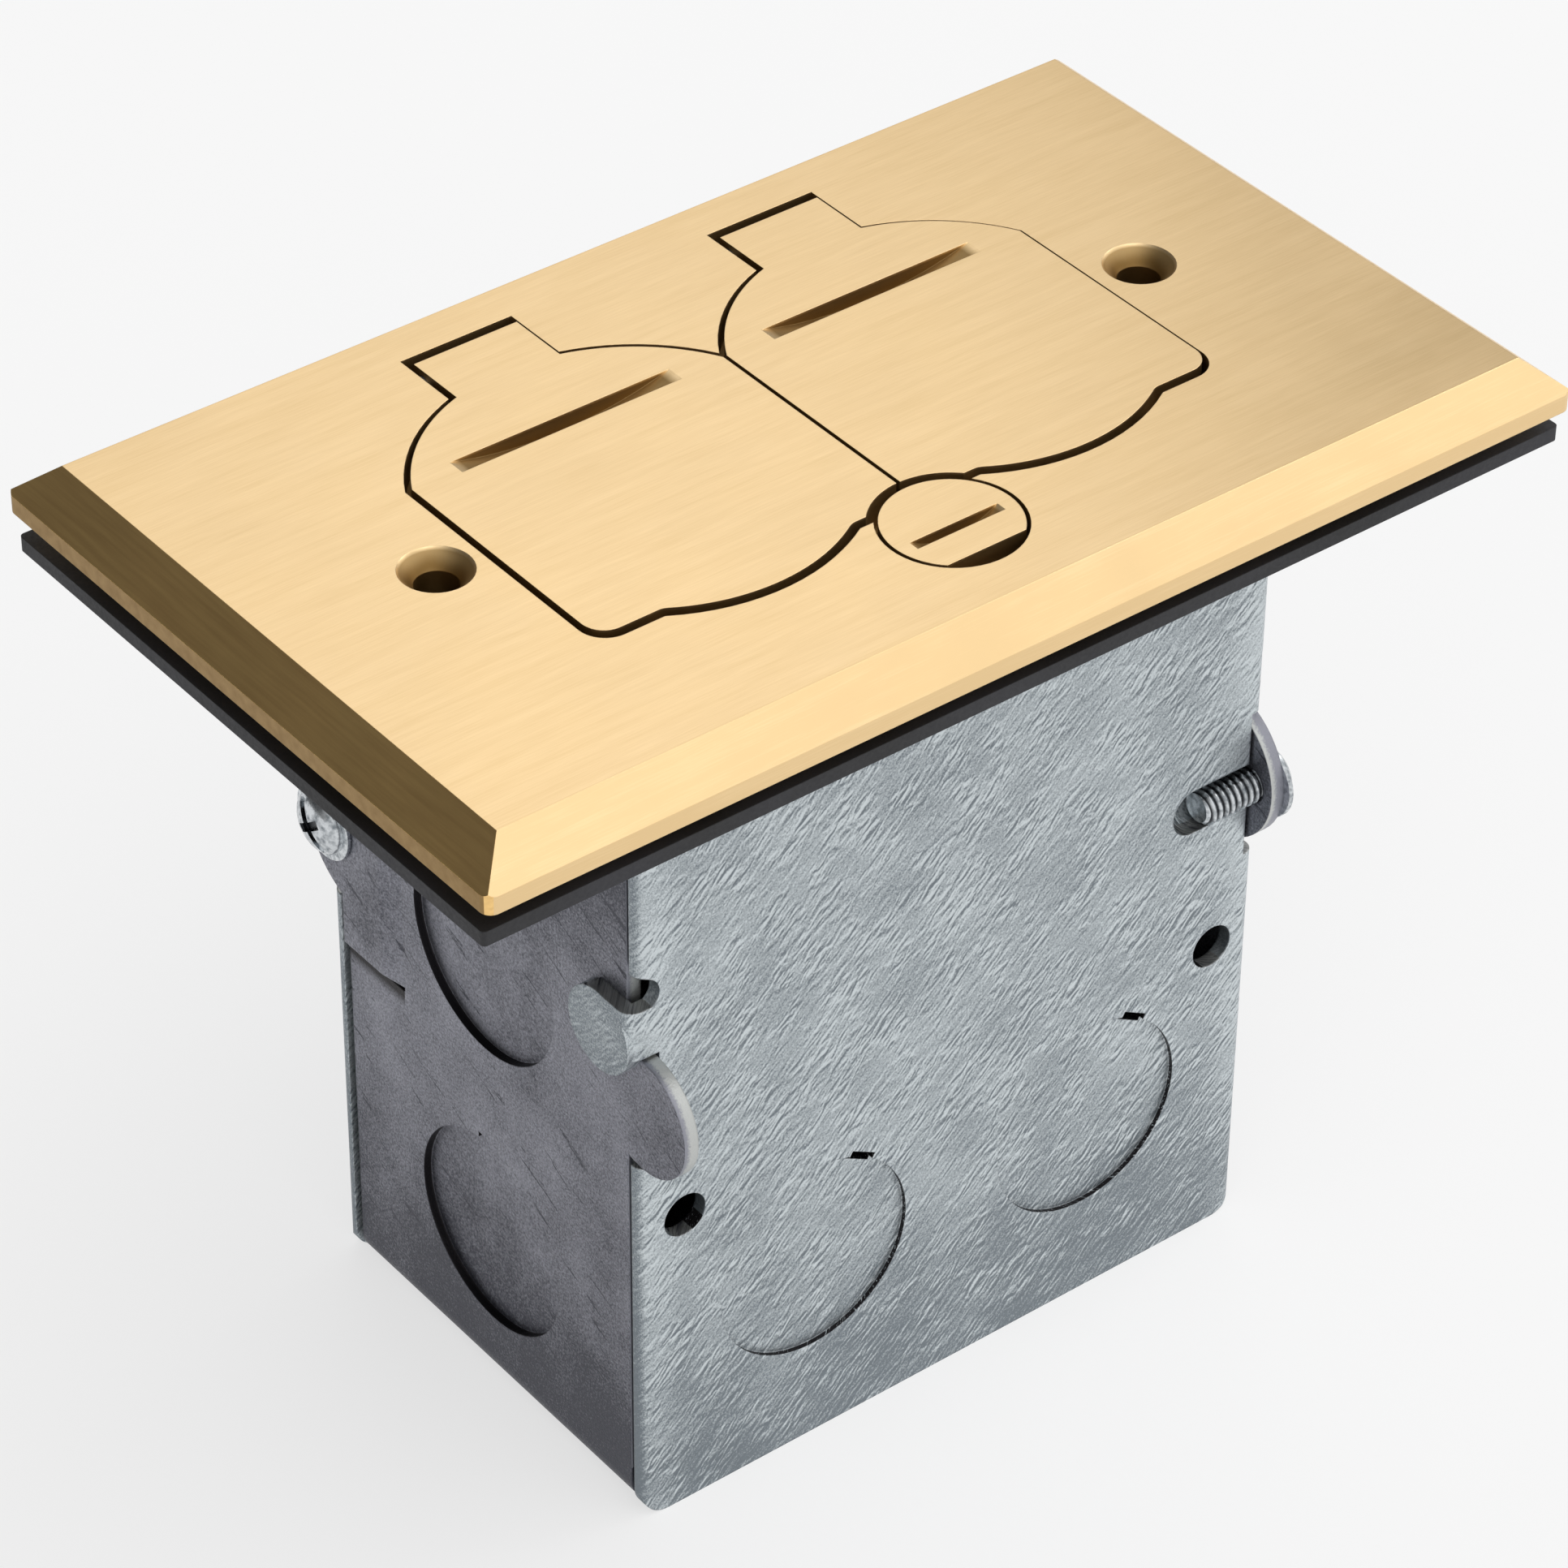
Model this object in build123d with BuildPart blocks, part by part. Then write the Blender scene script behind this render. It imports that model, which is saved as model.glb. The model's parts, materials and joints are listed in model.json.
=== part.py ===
from build123d import *

import os

# Floor socket box: a brass cover plate with two hinged lids and a turn lock,
# over a duplex receptacle in a sheet steel box. Millimetres, +Z up, origin
# under the middle of the box's bottom, +X along the long side of the plate,
# -Y towards the side that carries the lock.

# Steel box
box_depth = 92.3
box_width = 50.8
sheet = 1.6
end_wall_inset = 0.3
seam_gap = 0.8
bottom_bend_radius = 3.0
side_corner_radius = 3.0
side_edge_radius = 1.4
side_flange = 5.0

# Ears, hook and screw that hold a side to the body
screw_ear_radius = 8.4
screw_ear_height = 55.9
screw_ear_back = 5.2
screw_axis_back = 0.2
ear_offset = 0.6
ear_ramp = 3.0
offset_zone_width = 9.5
offset_zone_bottom = 41.9
offset_zone_top = 71.3
lance_width = 0.5
hook_ear_radius = 6.6
hook_ear_height = 52.0
hook_ear_back = 0.2
hook_radius = 4.6
hook_height = 60.1
hook_reach = 4.8
hook_root_top = 64.6
relief_radius = 2.0
relief_height = 66.2
notch_clearance = 0.3
gang_screw_radius = 2.05
gang_screw_length = 8.3
gang_head_radius = 4.3
gang_head_height = 2.3
gang_slot_width = 1.1
gang_slot_depth = 1.0
pocket_clearance = 0.6

# Knockouts and nail holes
knockout_radius = 11.4
side_knockout_pitch = 34.5
side_knockout_height = 23.2
side_knockout_set = 0.5
end_knockout_heights = (19.6, 54.6)
end_knockout_set = 0.9
pry_slot_length = 3.2
pry_slot_width = 1.1
pry_slot_angle = 60.0
nail_hole_radius = 2.45
nail_hole_inset = 5.1
nail_hole_height = 37.2

# Ears of the box that take the cover screws
cover_screw_pitch = 83.3
device_ear_width = 13.0
device_ear_margin = 5.0
device_hole_radius = 1.75

# Cover plate
plate_length = 127.0
plate_width = 76.2
plate_bevel_width = 3.9
plate_bevel_drop = 3.4
plate_edge_height = 1.9
plate_corner_radius = 1.2
land_length = 110.0
land_width = 60.0
land_height = 2.5
land_corner_radius = 3.0
cover_hole_radius = 2.15
cover_sink_radius = 3.65
sink_half_angle = 41.0

# Gasket between the plate and the floor
gasket_thickness = 1.6
gasket_inset_x = 0.3
gasket_inset_y = 1.2
gasket_corner_radius = 0.5
gasket_box_gap = 1.0
strap_window_margin = 1.0

# Lids
lid_thickness = 3.4
lid_center = 18.2
lid_half_width = 18.0
lid_gap = 0.45
lid_front_gap = 1.0
lid_cam_gap = 1.1
lid_settle_x = 0.3
lid_settle_y = 0.12
lid_rear_radius = 20.5
lid_rear_center = 1.7
lid_front = 17.1
lid_front_corner = 2.5
lid_bulge_radius = 20.0
lid_bulge_front = 20.25
lid_bulge_blend = 1.5
tab_width = 12.0
tab_slot_rear = 29.4
lift_slot_y = 12.0
lift_slot_length = 25.4
lift_slot_width = 2.0
lift_slot_depth = 1.8

# Hinges
hinge_y = 26.75
hinge_drop = 1.5
knuckle_radius = 1.5
pin_radius = 0.9
pin_bite = 3.0
pin_groove_clearance = 0.02
running_clearance = 0.05
keeper_thickness = 1.0
keeper_width = 5.4
keeper_length = 64.0
keeper_clearance = 0.2
finger_width = 2.4
finger_thickness = 1.6
rivet_radius = 1.1
rivet_head_radius = 1.9
rivet_length = 4.0

# Turn lock
cam_y = -22.5
cam_radius = 6.8
cam_gap = 0.4
cam_thickness = 3.0
cam_float = 0.15
cam_flat = 5.0
cam_slot_y = -0.8
cam_slot_length = 10.3
cam_slot_width = 1.2
cam_slot_depth = 1.5
cam_shaft_radius = 2.5
cam_web = 2.0
cam_well_radius = 6.0
cam_shaft_end = 0.6
clip_thickness = 0.8
clip_radius = 4.5
clip_groove_depth = 0.6
washer_thickness = 0.5
washer_radius = 4.8
stack_clearance = 0.05

# Receptacle
outlet_pitch = 38.9
face_half_length = 14.3
face_radius = 17.2
face_clearance = 0.25
face_rise = 3.5
face_edge = 0.5
face_base_width = 34.0
face_base_depth = 5.6
body_end_wall = 0.5
body_width = 31.0
body_depth = 16.3
body_wall = 1.8
body_floor = 2.0
body_end_block = 5.0
blade_pitch = 12.7
blade_width = 1.9
hot_blade_length = 6.4
neutral_blade_length = 7.9
blade_offset = 3.2
ground_offset = 8.7
ground_radius = 2.6
ground_flat = 1.7
strap_thickness = 1.6
strap_width = 19.0
strap_end_margin = 8.85
body_strap_gap = 1.2
strap_wall_gap = 1.4
strap_bend_radius = 1.0
strap_slot_length = 6.5
strap_slot_width = 4.6
center_screw_radius = 1.7
center_screw_clearance = 0.2
center_head_radius = 3.3
center_head_sink = 0.3
center_screw_length = 9.0
contact_sheet = 0.8
contact_gap = 0.4
contact_rise = 11.0
finger_spread = 1.4
terminal_x = 11.0
terminal_height = 7.0
terminal_radius = 1.7
terminal_head_radius = 3.4
terminal_head_height = 2.0
terminal_length = 5.5
ground_tab_inset = 10.0
ground_tab_width = 9.0
ground_tab_reach = 19.5
ground_screw_y = -17.4
ground_sleeve_wall = 0.7
strap_rivet_y = 6.5
strap_rivet_radius = 1.3
strap_rivet_head_radius = 2.6
strap_rivet_head_height = 1.0

# Lid seals
seal_thickness = 1.2
seal_recess = 0.6
seal_margin = 0.7

# Levels above the box's bottom
gasket_top = box_depth + gasket_thickness
plate_underside = gasket_top + land_height
bevel_foot = plate_underside + plate_edge_height
plate_top = bevel_foot + plate_bevel_drop
ledge = plate_top - lid_thickness
hinge_z = plate_top - hinge_drop
keeper_top = gasket_top + keeper_thickness
face_base_bottom = gasket_top - face_base_depth
body_bottom = face_base_bottom - body_depth
body_inside = body_bottom + body_floor
face_top = gasket_top + face_rise
cam_floor = plate_top - cam_thickness - cam_float
clip_top = cam_floor - cam_web - washer_thickness - 2 * stack_clearance
shaft_bottom = clip_top - clip_thickness - cam_shaft_end
strap_bottom = body_bottom - strap_thickness

# Places in plan, the lengths built up from the outlets outwards
outlet_x = outlet_pitch / 2
sleeve_half = ground_radius + ground_sleeve_wall
well_half = sleeve_half + running_clearance
body_length = 2 * (outlet_x + ground_offset + well_half + body_end_wall)
contact_length = body_length - 2 * (body_end_block + contact_gap)
strap_rivet_x = (body_length - body_end_block) / 2
strap_rivet_places = ((strap_rivet_x, strap_rivet_y), (-strap_rivet_x, -strap_rivet_y))
ground_tab_x = ground_tab_inset - body_length / 2
strap_inner_half = body_length / 2 + body_strap_gap
end_inner = strap_inner_half + strap_thickness + strap_wall_gap
end_face = end_inner + sheet
box_length = 2 * (end_face + end_wall_inset)
side_face = box_width / 2
side_inner = side_face - sheet
wall_half_width = side_inner - seam_gap
ear_face = end_face + ear_offset
screw_y = side_face - screw_axis_back
pin_length = tab_width + 2 * (lid_gap + lid_settle_x + pin_bite)
strap_half_length = cover_screw_pitch / 2 + strap_end_margin
blade_x = -blade_offset
tab_slot_front = lid_rear_center + lid_rear_radius / 2
knuckle_front = hinge_y - knuckle_radius - 2 * lid_gap
tab_front = lid_rear_center + lid_rear_radius - pin_bite
finger_x = (tab_width + pin_length) / 4 + lid_gap / 2


def arc_saw_radius(length, depth):
    """Radius of the round saw that leaves a slot of this length and depth."""
    return ((length / 2) ** 2 + depth**2) / (2 * depth)


def lid_profile(grow, front_grow):
    """Outline of the right-hand lid without its tab, grown by one margin and by another in front."""
    width = 2 * (lid_half_width + grow)
    front = -lid_front - front_grow
    with BuildSketch() as outline:
        with Locations((lid_center, lid_rear_center)):
            Circle(lid_rear_radius + grow)
        with Locations((lid_center, lid_bulge_radius - lid_bulge_front)):
            Circle(lid_bulge_radius + front_grow)
        with Locations((lid_center, lid_rear_center)):
            Rectangle(width, 3 * lid_rear_radius, mode=Mode.INTERSECT)
        with Locations((lid_center, (front + lid_rear_center) / 2)):
            Rectangle(width, lid_rear_center - front)
        front_points = [v for v in outline.vertices() if abs(v.Y - front) < 0.01]
        waist = [v for v in front_points if abs(v.X - lid_center) < width / 2 - lid_front_corner]
        fillet(waist, lid_bulge_blend - front_grow)
        outer_corner = outline.vertices().group_by(Axis.X)[-1].sort_by(Axis.Y)[0]
        fillet(outer_corner, lid_front_corner + grow)
    return outline.sketch


def face_profile(grow):
    """Outline of one outlet's face: a circle with two flats, grown by a margin."""
    with BuildSketch() as outline:
        Circle(face_radius + grow)
        Rectangle(2 * (face_half_length + grow), 3 * face_radius, mode=Mode.INTERSECT)
    return outline.sketch


# Cover plate: bevelled brass slab with a land under it, cut for the lids, the
# lock, the hinges and the two outlet faces
with BuildPart() as cover_plate:
    with BuildSketch(Plane.XY.offset(plate_underside)):
        Rectangle(plate_length, plate_width)
    extrude(amount=plate_edge_height)
    with BuildSketch(Plane.XY.offset(bevel_foot)):
        Rectangle(plate_length, plate_width)
    with BuildSketch(Plane.XY.offset(plate_top)):
        Rectangle(plate_length - 2 * plate_bevel_width, plate_width - 2 * plate_bevel_width)
    loft()
    with BuildSketch(Plane.XY.offset(plate_underside)):
        RectangleRounded(plate_length, plate_width, plate_corner_radius)
    extrude(amount=plate_top - plate_underside, mode=Mode.INTERSECT)
    with BuildSketch(Plane.XY.offset(gasket_top)):
        RectangleRounded(land_length, land_width, land_corner_radius)
    extrude(amount=land_height)
    # Lid pockets, drawn a little to the front left of the lids, which settle
    # against the rear right of them
    with BuildSketch(Plane.XY.offset(plate_top)):
        with Locations((-lid_settle_x, -lid_settle_y)):
            pocket = lid_profile(lid_gap, lid_front_gap)
            add(pocket)
            add(mirror(pocket, about=Plane.YZ))
    extrude(amount=-lid_thickness, mode=Mode.SUBTRACT)
    with BuildSketch(Plane.XY.offset(plate_top)):
        with Locations((0, cam_y)):
            Circle(cam_radius + cam_gap)
    extrude(amount=-(cam_thickness + cam_float), mode=Mode.SUBTRACT)
    with BuildSketch(Plane.XY.offset(plate_top)):
        with Locations(
            (lid_center - lid_settle_x, (tab_slot_front + tab_slot_rear) / 2),
            (-lid_center - lid_settle_x, (tab_slot_front + tab_slot_rear) / 2),
        ):
            Rectangle(tab_width + 2 * lid_gap, tab_slot_rear - tab_slot_front)
    extrude(amount=-lid_thickness, mode=Mode.SUBTRACT)
    # Below ledge level the tab slots go on down to the keeper
    with BuildSketch(Plane.XY.offset(keeper_top)):
        with Locations(
            (lid_center - lid_settle_x, (knuckle_front + tab_slot_rear) / 2),
            (-lid_center - lid_settle_x, (knuckle_front + tab_slot_rear) / 2),
        ):
            Rectangle(tab_width + 2 * lid_gap, tab_slot_rear - knuckle_front)
    extrude(amount=plate_top - keeper_top, mode=Mode.SUBTRACT)
    # Grooves for the hinge pins, open below, and the recess for their keeper
    for side in (-1, 1):
        with BuildSketch(Plane.YZ.offset(side * lid_center)):
            with Locations((hinge_y, hinge_z)):
                Circle(pin_radius + pin_groove_clearance)
            with Locations((hinge_y, (hinge_z + gasket_top) / 2)):
                Rectangle(2 * (pin_radius + pin_groove_clearance), hinge_z - gasket_top)
        extrude(amount=pin_length / 2, both=True, mode=Mode.SUBTRACT)
    with BuildSketch(Plane.XY.offset(gasket_top)):
        with Locations((0, hinge_y)):
            Rectangle(keeper_length + 2 * keeper_clearance, keeper_width + 2 * keeper_clearance)
    extrude(amount=keeper_thickness, mode=Mode.SUBTRACT)
    with BuildSketch(Plane.XY.offset(keeper_top)):
        with GridLocations(keeper_length - keeper_width, 0, 2, 1):
            with Locations((0, hinge_y)):
                Circle(rivet_radius)
    extrude(amount=rivet_length - keeper_thickness, mode=Mode.SUBTRACT)
    # Windows for the outlet faces
    with BuildSketch(Plane.XY.offset(gasket_top)):
        with GridLocations(outlet_pitch, 0, 2, 1):
            add(face_profile(face_clearance))
    extrude(amount=ledge - gasket_top, mode=Mode.SUBTRACT)
    # Bore of the lock, with a well from below for its clip
    with BuildSketch(Plane.XY.offset(cam_floor)):
        with Locations((0, cam_y)):
            Circle(cam_shaft_radius + running_clearance)
    extrude(amount=-cam_web, mode=Mode.SUBTRACT)
    with BuildSketch(Plane.XY.offset(gasket_top)):
        with Locations((0, cam_y)):
            Circle(cam_well_radius)
    extrude(amount=cam_floor - cam_web - gasket_top, mode=Mode.SUBTRACT)
    # Screw holes
    with Locations(Plane.XY.offset(plate_top)):
        with GridLocations(cover_screw_pitch, 0, 2, 1):
            CounterSinkHole(
                cover_hole_radius,
                cover_sink_radius,
                counter_sink_angle=2 * sink_half_angle,
            )
    with Locations(Plane.XY.offset(ledge - center_head_sink)):
        CounterSinkHole(
            center_screw_radius + center_screw_clearance,
            center_head_radius + center_screw_clearance,
            counter_sink_angle=2 * sink_half_angle,
        )
cover_plate.part.label = "cover_plate"

# Gasket: flat rubber frame round the box, with room for the strap
with BuildPart() as cover_gasket:
    with BuildSketch(Plane.XY.offset(box_depth)):
        RectangleRounded(
            plate_length - 2 * gasket_inset_x,
            plate_width - 2 * gasket_inset_y,
            gasket_corner_radius,
        )
        Rectangle(
            box_length + 2 * gasket_box_gap,
            box_width + 2 * gasket_box_gap,
            mode=Mode.SUBTRACT,
        )
        Rectangle(
            2 * (strap_half_length + strap_window_margin),
            strap_width + 2 * strap_window_margin,
            mode=Mode.SUBTRACT,
        )
    extrude(amount=gasket_thickness)
cover_gasket.part.label = "cover_gasket"

# Right-hand lid: flat top, arched rear, tab with a round knuckle
with BuildPart() as lid_right:
    with BuildSketch(Plane.XY.offset(plate_top)):
        add(lid_profile(0, 0))
        with Locations((0, cam_y)):
            Circle(cam_radius + lid_cam_gap, mode=Mode.SUBTRACT)
    extrude(amount=-lid_thickness)
    with BuildSketch(Plane.YZ.offset(lid_center)):
        with Locations(((tab_front + hinge_y) / 2, plate_top - lid_thickness / 2)):
            Rectangle(hinge_y - tab_front, lid_thickness)
        with Locations((hinge_y, hinge_z)):
            Circle(knuckle_radius)
        with Locations((hinge_y, (hinge_z + plate_top) / 2)):
            Rectangle(2 * knuckle_radius, hinge_drop)
    extrude(amount=tab_width / 2, both=True)
    with BuildSketch(Plane.YZ.offset(lid_center)):
        with Locations((hinge_y, hinge_z)):
            Circle(pin_radius + running_clearance)
    extrude(amount=tab_width, both=True, mode=Mode.SUBTRACT)
    lift_saw = arc_saw_radius(lift_slot_length, lift_slot_depth)
    with BuildSketch(Plane.XZ.offset(-lift_slot_y)):
        with Locations((lid_center, plate_top - lift_slot_depth + lift_saw)):
            Circle(lift_saw)
    extrude(amount=lift_slot_width / 2, both=True, mode=Mode.SUBTRACT)
    with BuildSketch(Plane.XY.offset(ledge)):
        with Locations((outlet_x, 0)):
            add(face_profile(-seal_margin))
    extrude(amount=seal_recess, mode=Mode.SUBTRACT)
lid_right.part.label = "lid_right"

# Left-hand lid: the right-hand one mirrored
with BuildPart() as lid_left:
    add(mirror(lid_right.part, about=Plane.YZ))
lid_left.part.label = "lid_left"

# Seals: rubber pads let into the undersides of the lids
with BuildPart() as lid_seal_right:
    with BuildSketch(Plane.XY.offset(ledge + seal_recess)):
        with Locations((outlet_x, 0)):
            add(face_profile(-seal_margin))
    extrude(amount=-seal_thickness)
lid_seal_right.part.label = "lid_seal_right"

with BuildPart() as lid_seal_left:
    add(mirror(lid_seal_right.part, about=Plane.YZ))
lid_seal_left.part.label = "lid_seal_left"

# Hinge pins, one through each tab
with BuildPart() as hinge_pins:
    for side in (-1, 1):
        with BuildSketch(Plane.YZ.offset(side * lid_center)):
            with Locations((hinge_y, hinge_z)):
                Circle(pin_radius)
        extrude(amount=(pin_length - pin_groove_clearance) / 2, both=True)
hinge_pins.part.label = "hinge_pins"

# Keeper: strip with fingers that close the pin grooves from below
with BuildPart() as hinge_keeper:
    with BuildSketch(Plane.XY.offset(gasket_top)):
        with Locations((0, hinge_y)):
            Rectangle(keeper_length, keeper_width)
    extrude(amount=keeper_thickness)
    with BuildSketch(Plane.XY.offset(keeper_top)):
        with Locations(
            (lid_center - finger_x, hinge_y),
            (lid_center + finger_x, hinge_y),
            (-lid_center - finger_x, hinge_y),
            (-lid_center + finger_x, hinge_y),
        ):
            Rectangle(finger_width, finger_thickness)
    extrude(amount=hinge_z - pin_radius - keeper_top)
    with Locations(Plane.XY.offset(gasket_top).rotated((180, 0, 0))):
        with GridLocations(keeper_length - keeper_width, 0, 2, 1):
            with Locations((0, -hinge_y)):
                CounterSinkHole(
                    rivet_radius,
                    rivet_head_radius,
                    counter_sink_angle=2 * sink_half_angle,
                )
hinge_keeper.part.label = "hinge_keeper"

# Countersunk rivets of the keeper
with BuildPart() as keeper_rivets:
    with BuildSketch(Plane.XY.offset(gasket_top)):
        with GridLocations(keeper_length - keeper_width, 0, 2, 1):
            with Locations((0, hinge_y)):
                Circle(rivet_radius)
    extrude(amount=rivet_length)
    with BuildSketch(Plane.XY.offset(gasket_top)):
        with GridLocations(keeper_length - keeper_width, 0, 2, 1):
            with Locations((0, hinge_y)):
                Circle(rivet_head_radius)
    extrude(amount=rivet_head_radius - rivet_radius, taper=sink_half_angle)
keeper_rivets.part.label = "keeper_rivets"

# Turn lock: slotted disc with one flat, on a grooved shaft
with BuildPart() as lock_cam:
    with BuildSketch(Plane.XY.offset(plate_top)):
        with Locations((0, cam_y)):
            Circle(cam_radius)
        with Locations((0, cam_y - cam_flat - cam_radius)):
            Rectangle(2 * cam_radius, 2 * cam_radius, mode=Mode.SUBTRACT)
    extrude(amount=-cam_thickness)
    with BuildSketch(Plane.XY.offset(plate_top - cam_thickness)):
        with Locations((0, cam_y)):
            Circle(cam_shaft_radius)
    extrude(amount=shaft_bottom - plate_top + cam_thickness)
    with BuildSketch(Plane.XY.offset(clip_top)):
        with Locations((0, cam_y)):
            Circle(cam_shaft_radius)
            Circle(cam_shaft_radius - clip_groove_depth, mode=Mode.SUBTRACT)
    extrude(amount=-clip_thickness, mode=Mode.SUBTRACT)
    cam_saw = arc_saw_radius(cam_slot_length, cam_slot_depth)
    with BuildSketch(Plane.XZ.offset(-cam_y - cam_slot_y)):
        with Locations((0, plate_top - cam_slot_depth + cam_saw)):
            Circle(cam_saw)
    extrude(amount=cam_slot_width / 2, both=True, mode=Mode.SUBTRACT)
lock_cam.part.label = "lock_cam"

# Friction washer between the plate and the clip
with BuildPart() as lock_washer:
    with BuildSketch(Plane.XY.offset(cam_floor - cam_web - stack_clearance)):
        with Locations((0, cam_y)):
            Circle(washer_radius)
            Circle(cam_shaft_radius + running_clearance, mode=Mode.SUBTRACT)
    extrude(amount=-washer_thickness)
lock_washer.part.label = "lock_washer"

# Retaining clip: open ring pushed into the shaft's groove
with BuildPart() as lock_clip:
    with BuildSketch(Plane.XY.offset(clip_top)):
        with Locations((0, cam_y)):
            Circle(clip_radius)
            Circle(cam_shaft_radius - clip_groove_depth, mode=Mode.SUBTRACT)
        with Locations((0, cam_y - clip_radius)):
            Rectangle(
                2 * (cam_shaft_radius - clip_groove_depth) - cam_gap,
                2 * clip_radius,
                mode=Mode.SUBTRACT,
            )
    extrude(amount=-clip_thickness)
lock_clip.part.label = "lock_clip"

# Box body: one strip bent to two ends and a bottom. Each end has an ear for
# a side's screw, pressed outwards, and a plain ear beside a side's hook
with BuildPart() as box_body:
    with BuildSketch(Plane.XZ):
        with Locations((0, box_depth / 2)):
            Rectangle(2 * end_face, box_depth)
        fillet(vertices().group_by(Axis.Y)[0], bottom_bend_radius)
        with Locations((0, sheet + box_depth / 2)):
            Rectangle(2 * end_inner, box_depth, mode=Mode.SUBTRACT)
    extrude(amount=wall_half_width, both=True)
    # Tapped ears at the rim for the cover screws
    with BuildSketch(Plane.XY.offset(box_depth)):
        ear_end = cover_screw_pitch / 2 + device_ear_margin
        with Locations(((end_inner + ear_end) / 2, 0), (-(end_inner + ear_end) / 2, 0)):
            Rectangle(ear_end - end_inner, device_ear_width)
        with GridLocations(cover_screw_pitch, 0, 2, 1):
            Circle(device_hole_radius, mode=Mode.SUBTRACT)
    extrude(amount=-sheet)
    # Plain ears, in the plane of the ends
    for turn in (0, 180):
        with BuildSketch(Plane.YZ.rotated((0, 0, turn)).offset(-end_face)):
            with Locations((-side_face + hook_ear_back, hook_ear_height)):
                Circle(hook_ear_radius)
        extrude(amount=sheet)
    # Screw ears, stepped out by the offset of the pressed zone, which is lanced free below
    for turn in (0, 180):
        zone_inner = wall_half_width - offset_zone_width
        zone_height = offset_zone_top - offset_zone_bottom
        zone_middle = (offset_zone_top + offset_zone_bottom) / 2
        end_plane = Plane.YZ.rotated((0, 0, turn))
        with BuildSketch(end_plane.offset(end_inner)):
            with Locations((-(zone_inner + wall_half_width) / 2, zone_middle)):
                Rectangle(offset_zone_width, zone_height)
        extrude(amount=sheet, mode=Mode.SUBTRACT)
        with BuildSketch(Plane.XY.rotated((0, 0, turn)).offset(offset_zone_bottom)):
            with BuildLine():
                Polyline(
                    (end_inner, -zone_inner),
                    (end_face, -zone_inner),
                    (ear_face, -zone_inner - ear_ramp),
                    (ear_face, -side_face - screw_ear_radius),
                    (ear_face - sheet, -side_face - screw_ear_radius),
                    (ear_face - sheet, -zone_inner - ear_ramp),
                    close=True,
                )
            make_face()
        extrude(amount=zone_height)
        with BuildSketch(end_plane.offset(end_inner)):
            with Locations((-(zone_inner + wall_half_width) / 2, offset_zone_bottom - lance_width / 2)):
                Rectangle(offset_zone_width, lance_width)
        extrude(amount=sheet, mode=Mode.SUBTRACT)
        with BuildSketch(end_plane.offset(ear_face - sheet)):
            with Locations((-side_face, zone_middle)):
                Rectangle(2 * (side_face - wall_half_width), zone_height)
            with Locations((-side_face - screw_ear_radius, zone_middle)):
                Rectangle(2 * screw_ear_radius, zone_height)
            with Locations((-side_face + screw_ear_back, screw_ear_height)):
                Circle(screw_ear_radius, mode=Mode.SUBTRACT)
        extrude(amount=sheet, mode=Mode.SUBTRACT)
        with BuildSketch(end_plane.offset(ear_face - sheet)):
            with Locations((-screw_y, screw_ear_height)):
                Circle(gang_screw_radius + running_clearance)
        extrude(amount=sheet, mode=Mode.SUBTRACT)
    # Knockouts: discs sheared part way and pressed in, each with a slot to pry at
    for turn in (0, 180):
        end_plane = Plane.YZ.rotated((0, 0, turn))
        knockout_places = [(0, height) for height in end_knockout_heights]
        with BuildSketch(end_plane.offset(end_inner)):
            with Locations(knockout_places):
                Circle(knockout_radius)
        extrude(amount=-end_knockout_set)
        with BuildSketch(end_plane.offset(end_face)):
            with Locations(knockout_places):
                Circle(knockout_radius)
        extrude(amount=-end_knockout_set, mode=Mode.SUBTRACT)
        with BuildSketch(end_plane.offset(end_face)):
            with Locations([(0, h + knockout_radius) for h in end_knockout_heights]):
                Rectangle(pry_slot_length, pry_slot_width)
        extrude(amount=-2 * sheet, mode=Mode.SUBTRACT)
box_body.part.label = "box_body"

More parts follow.
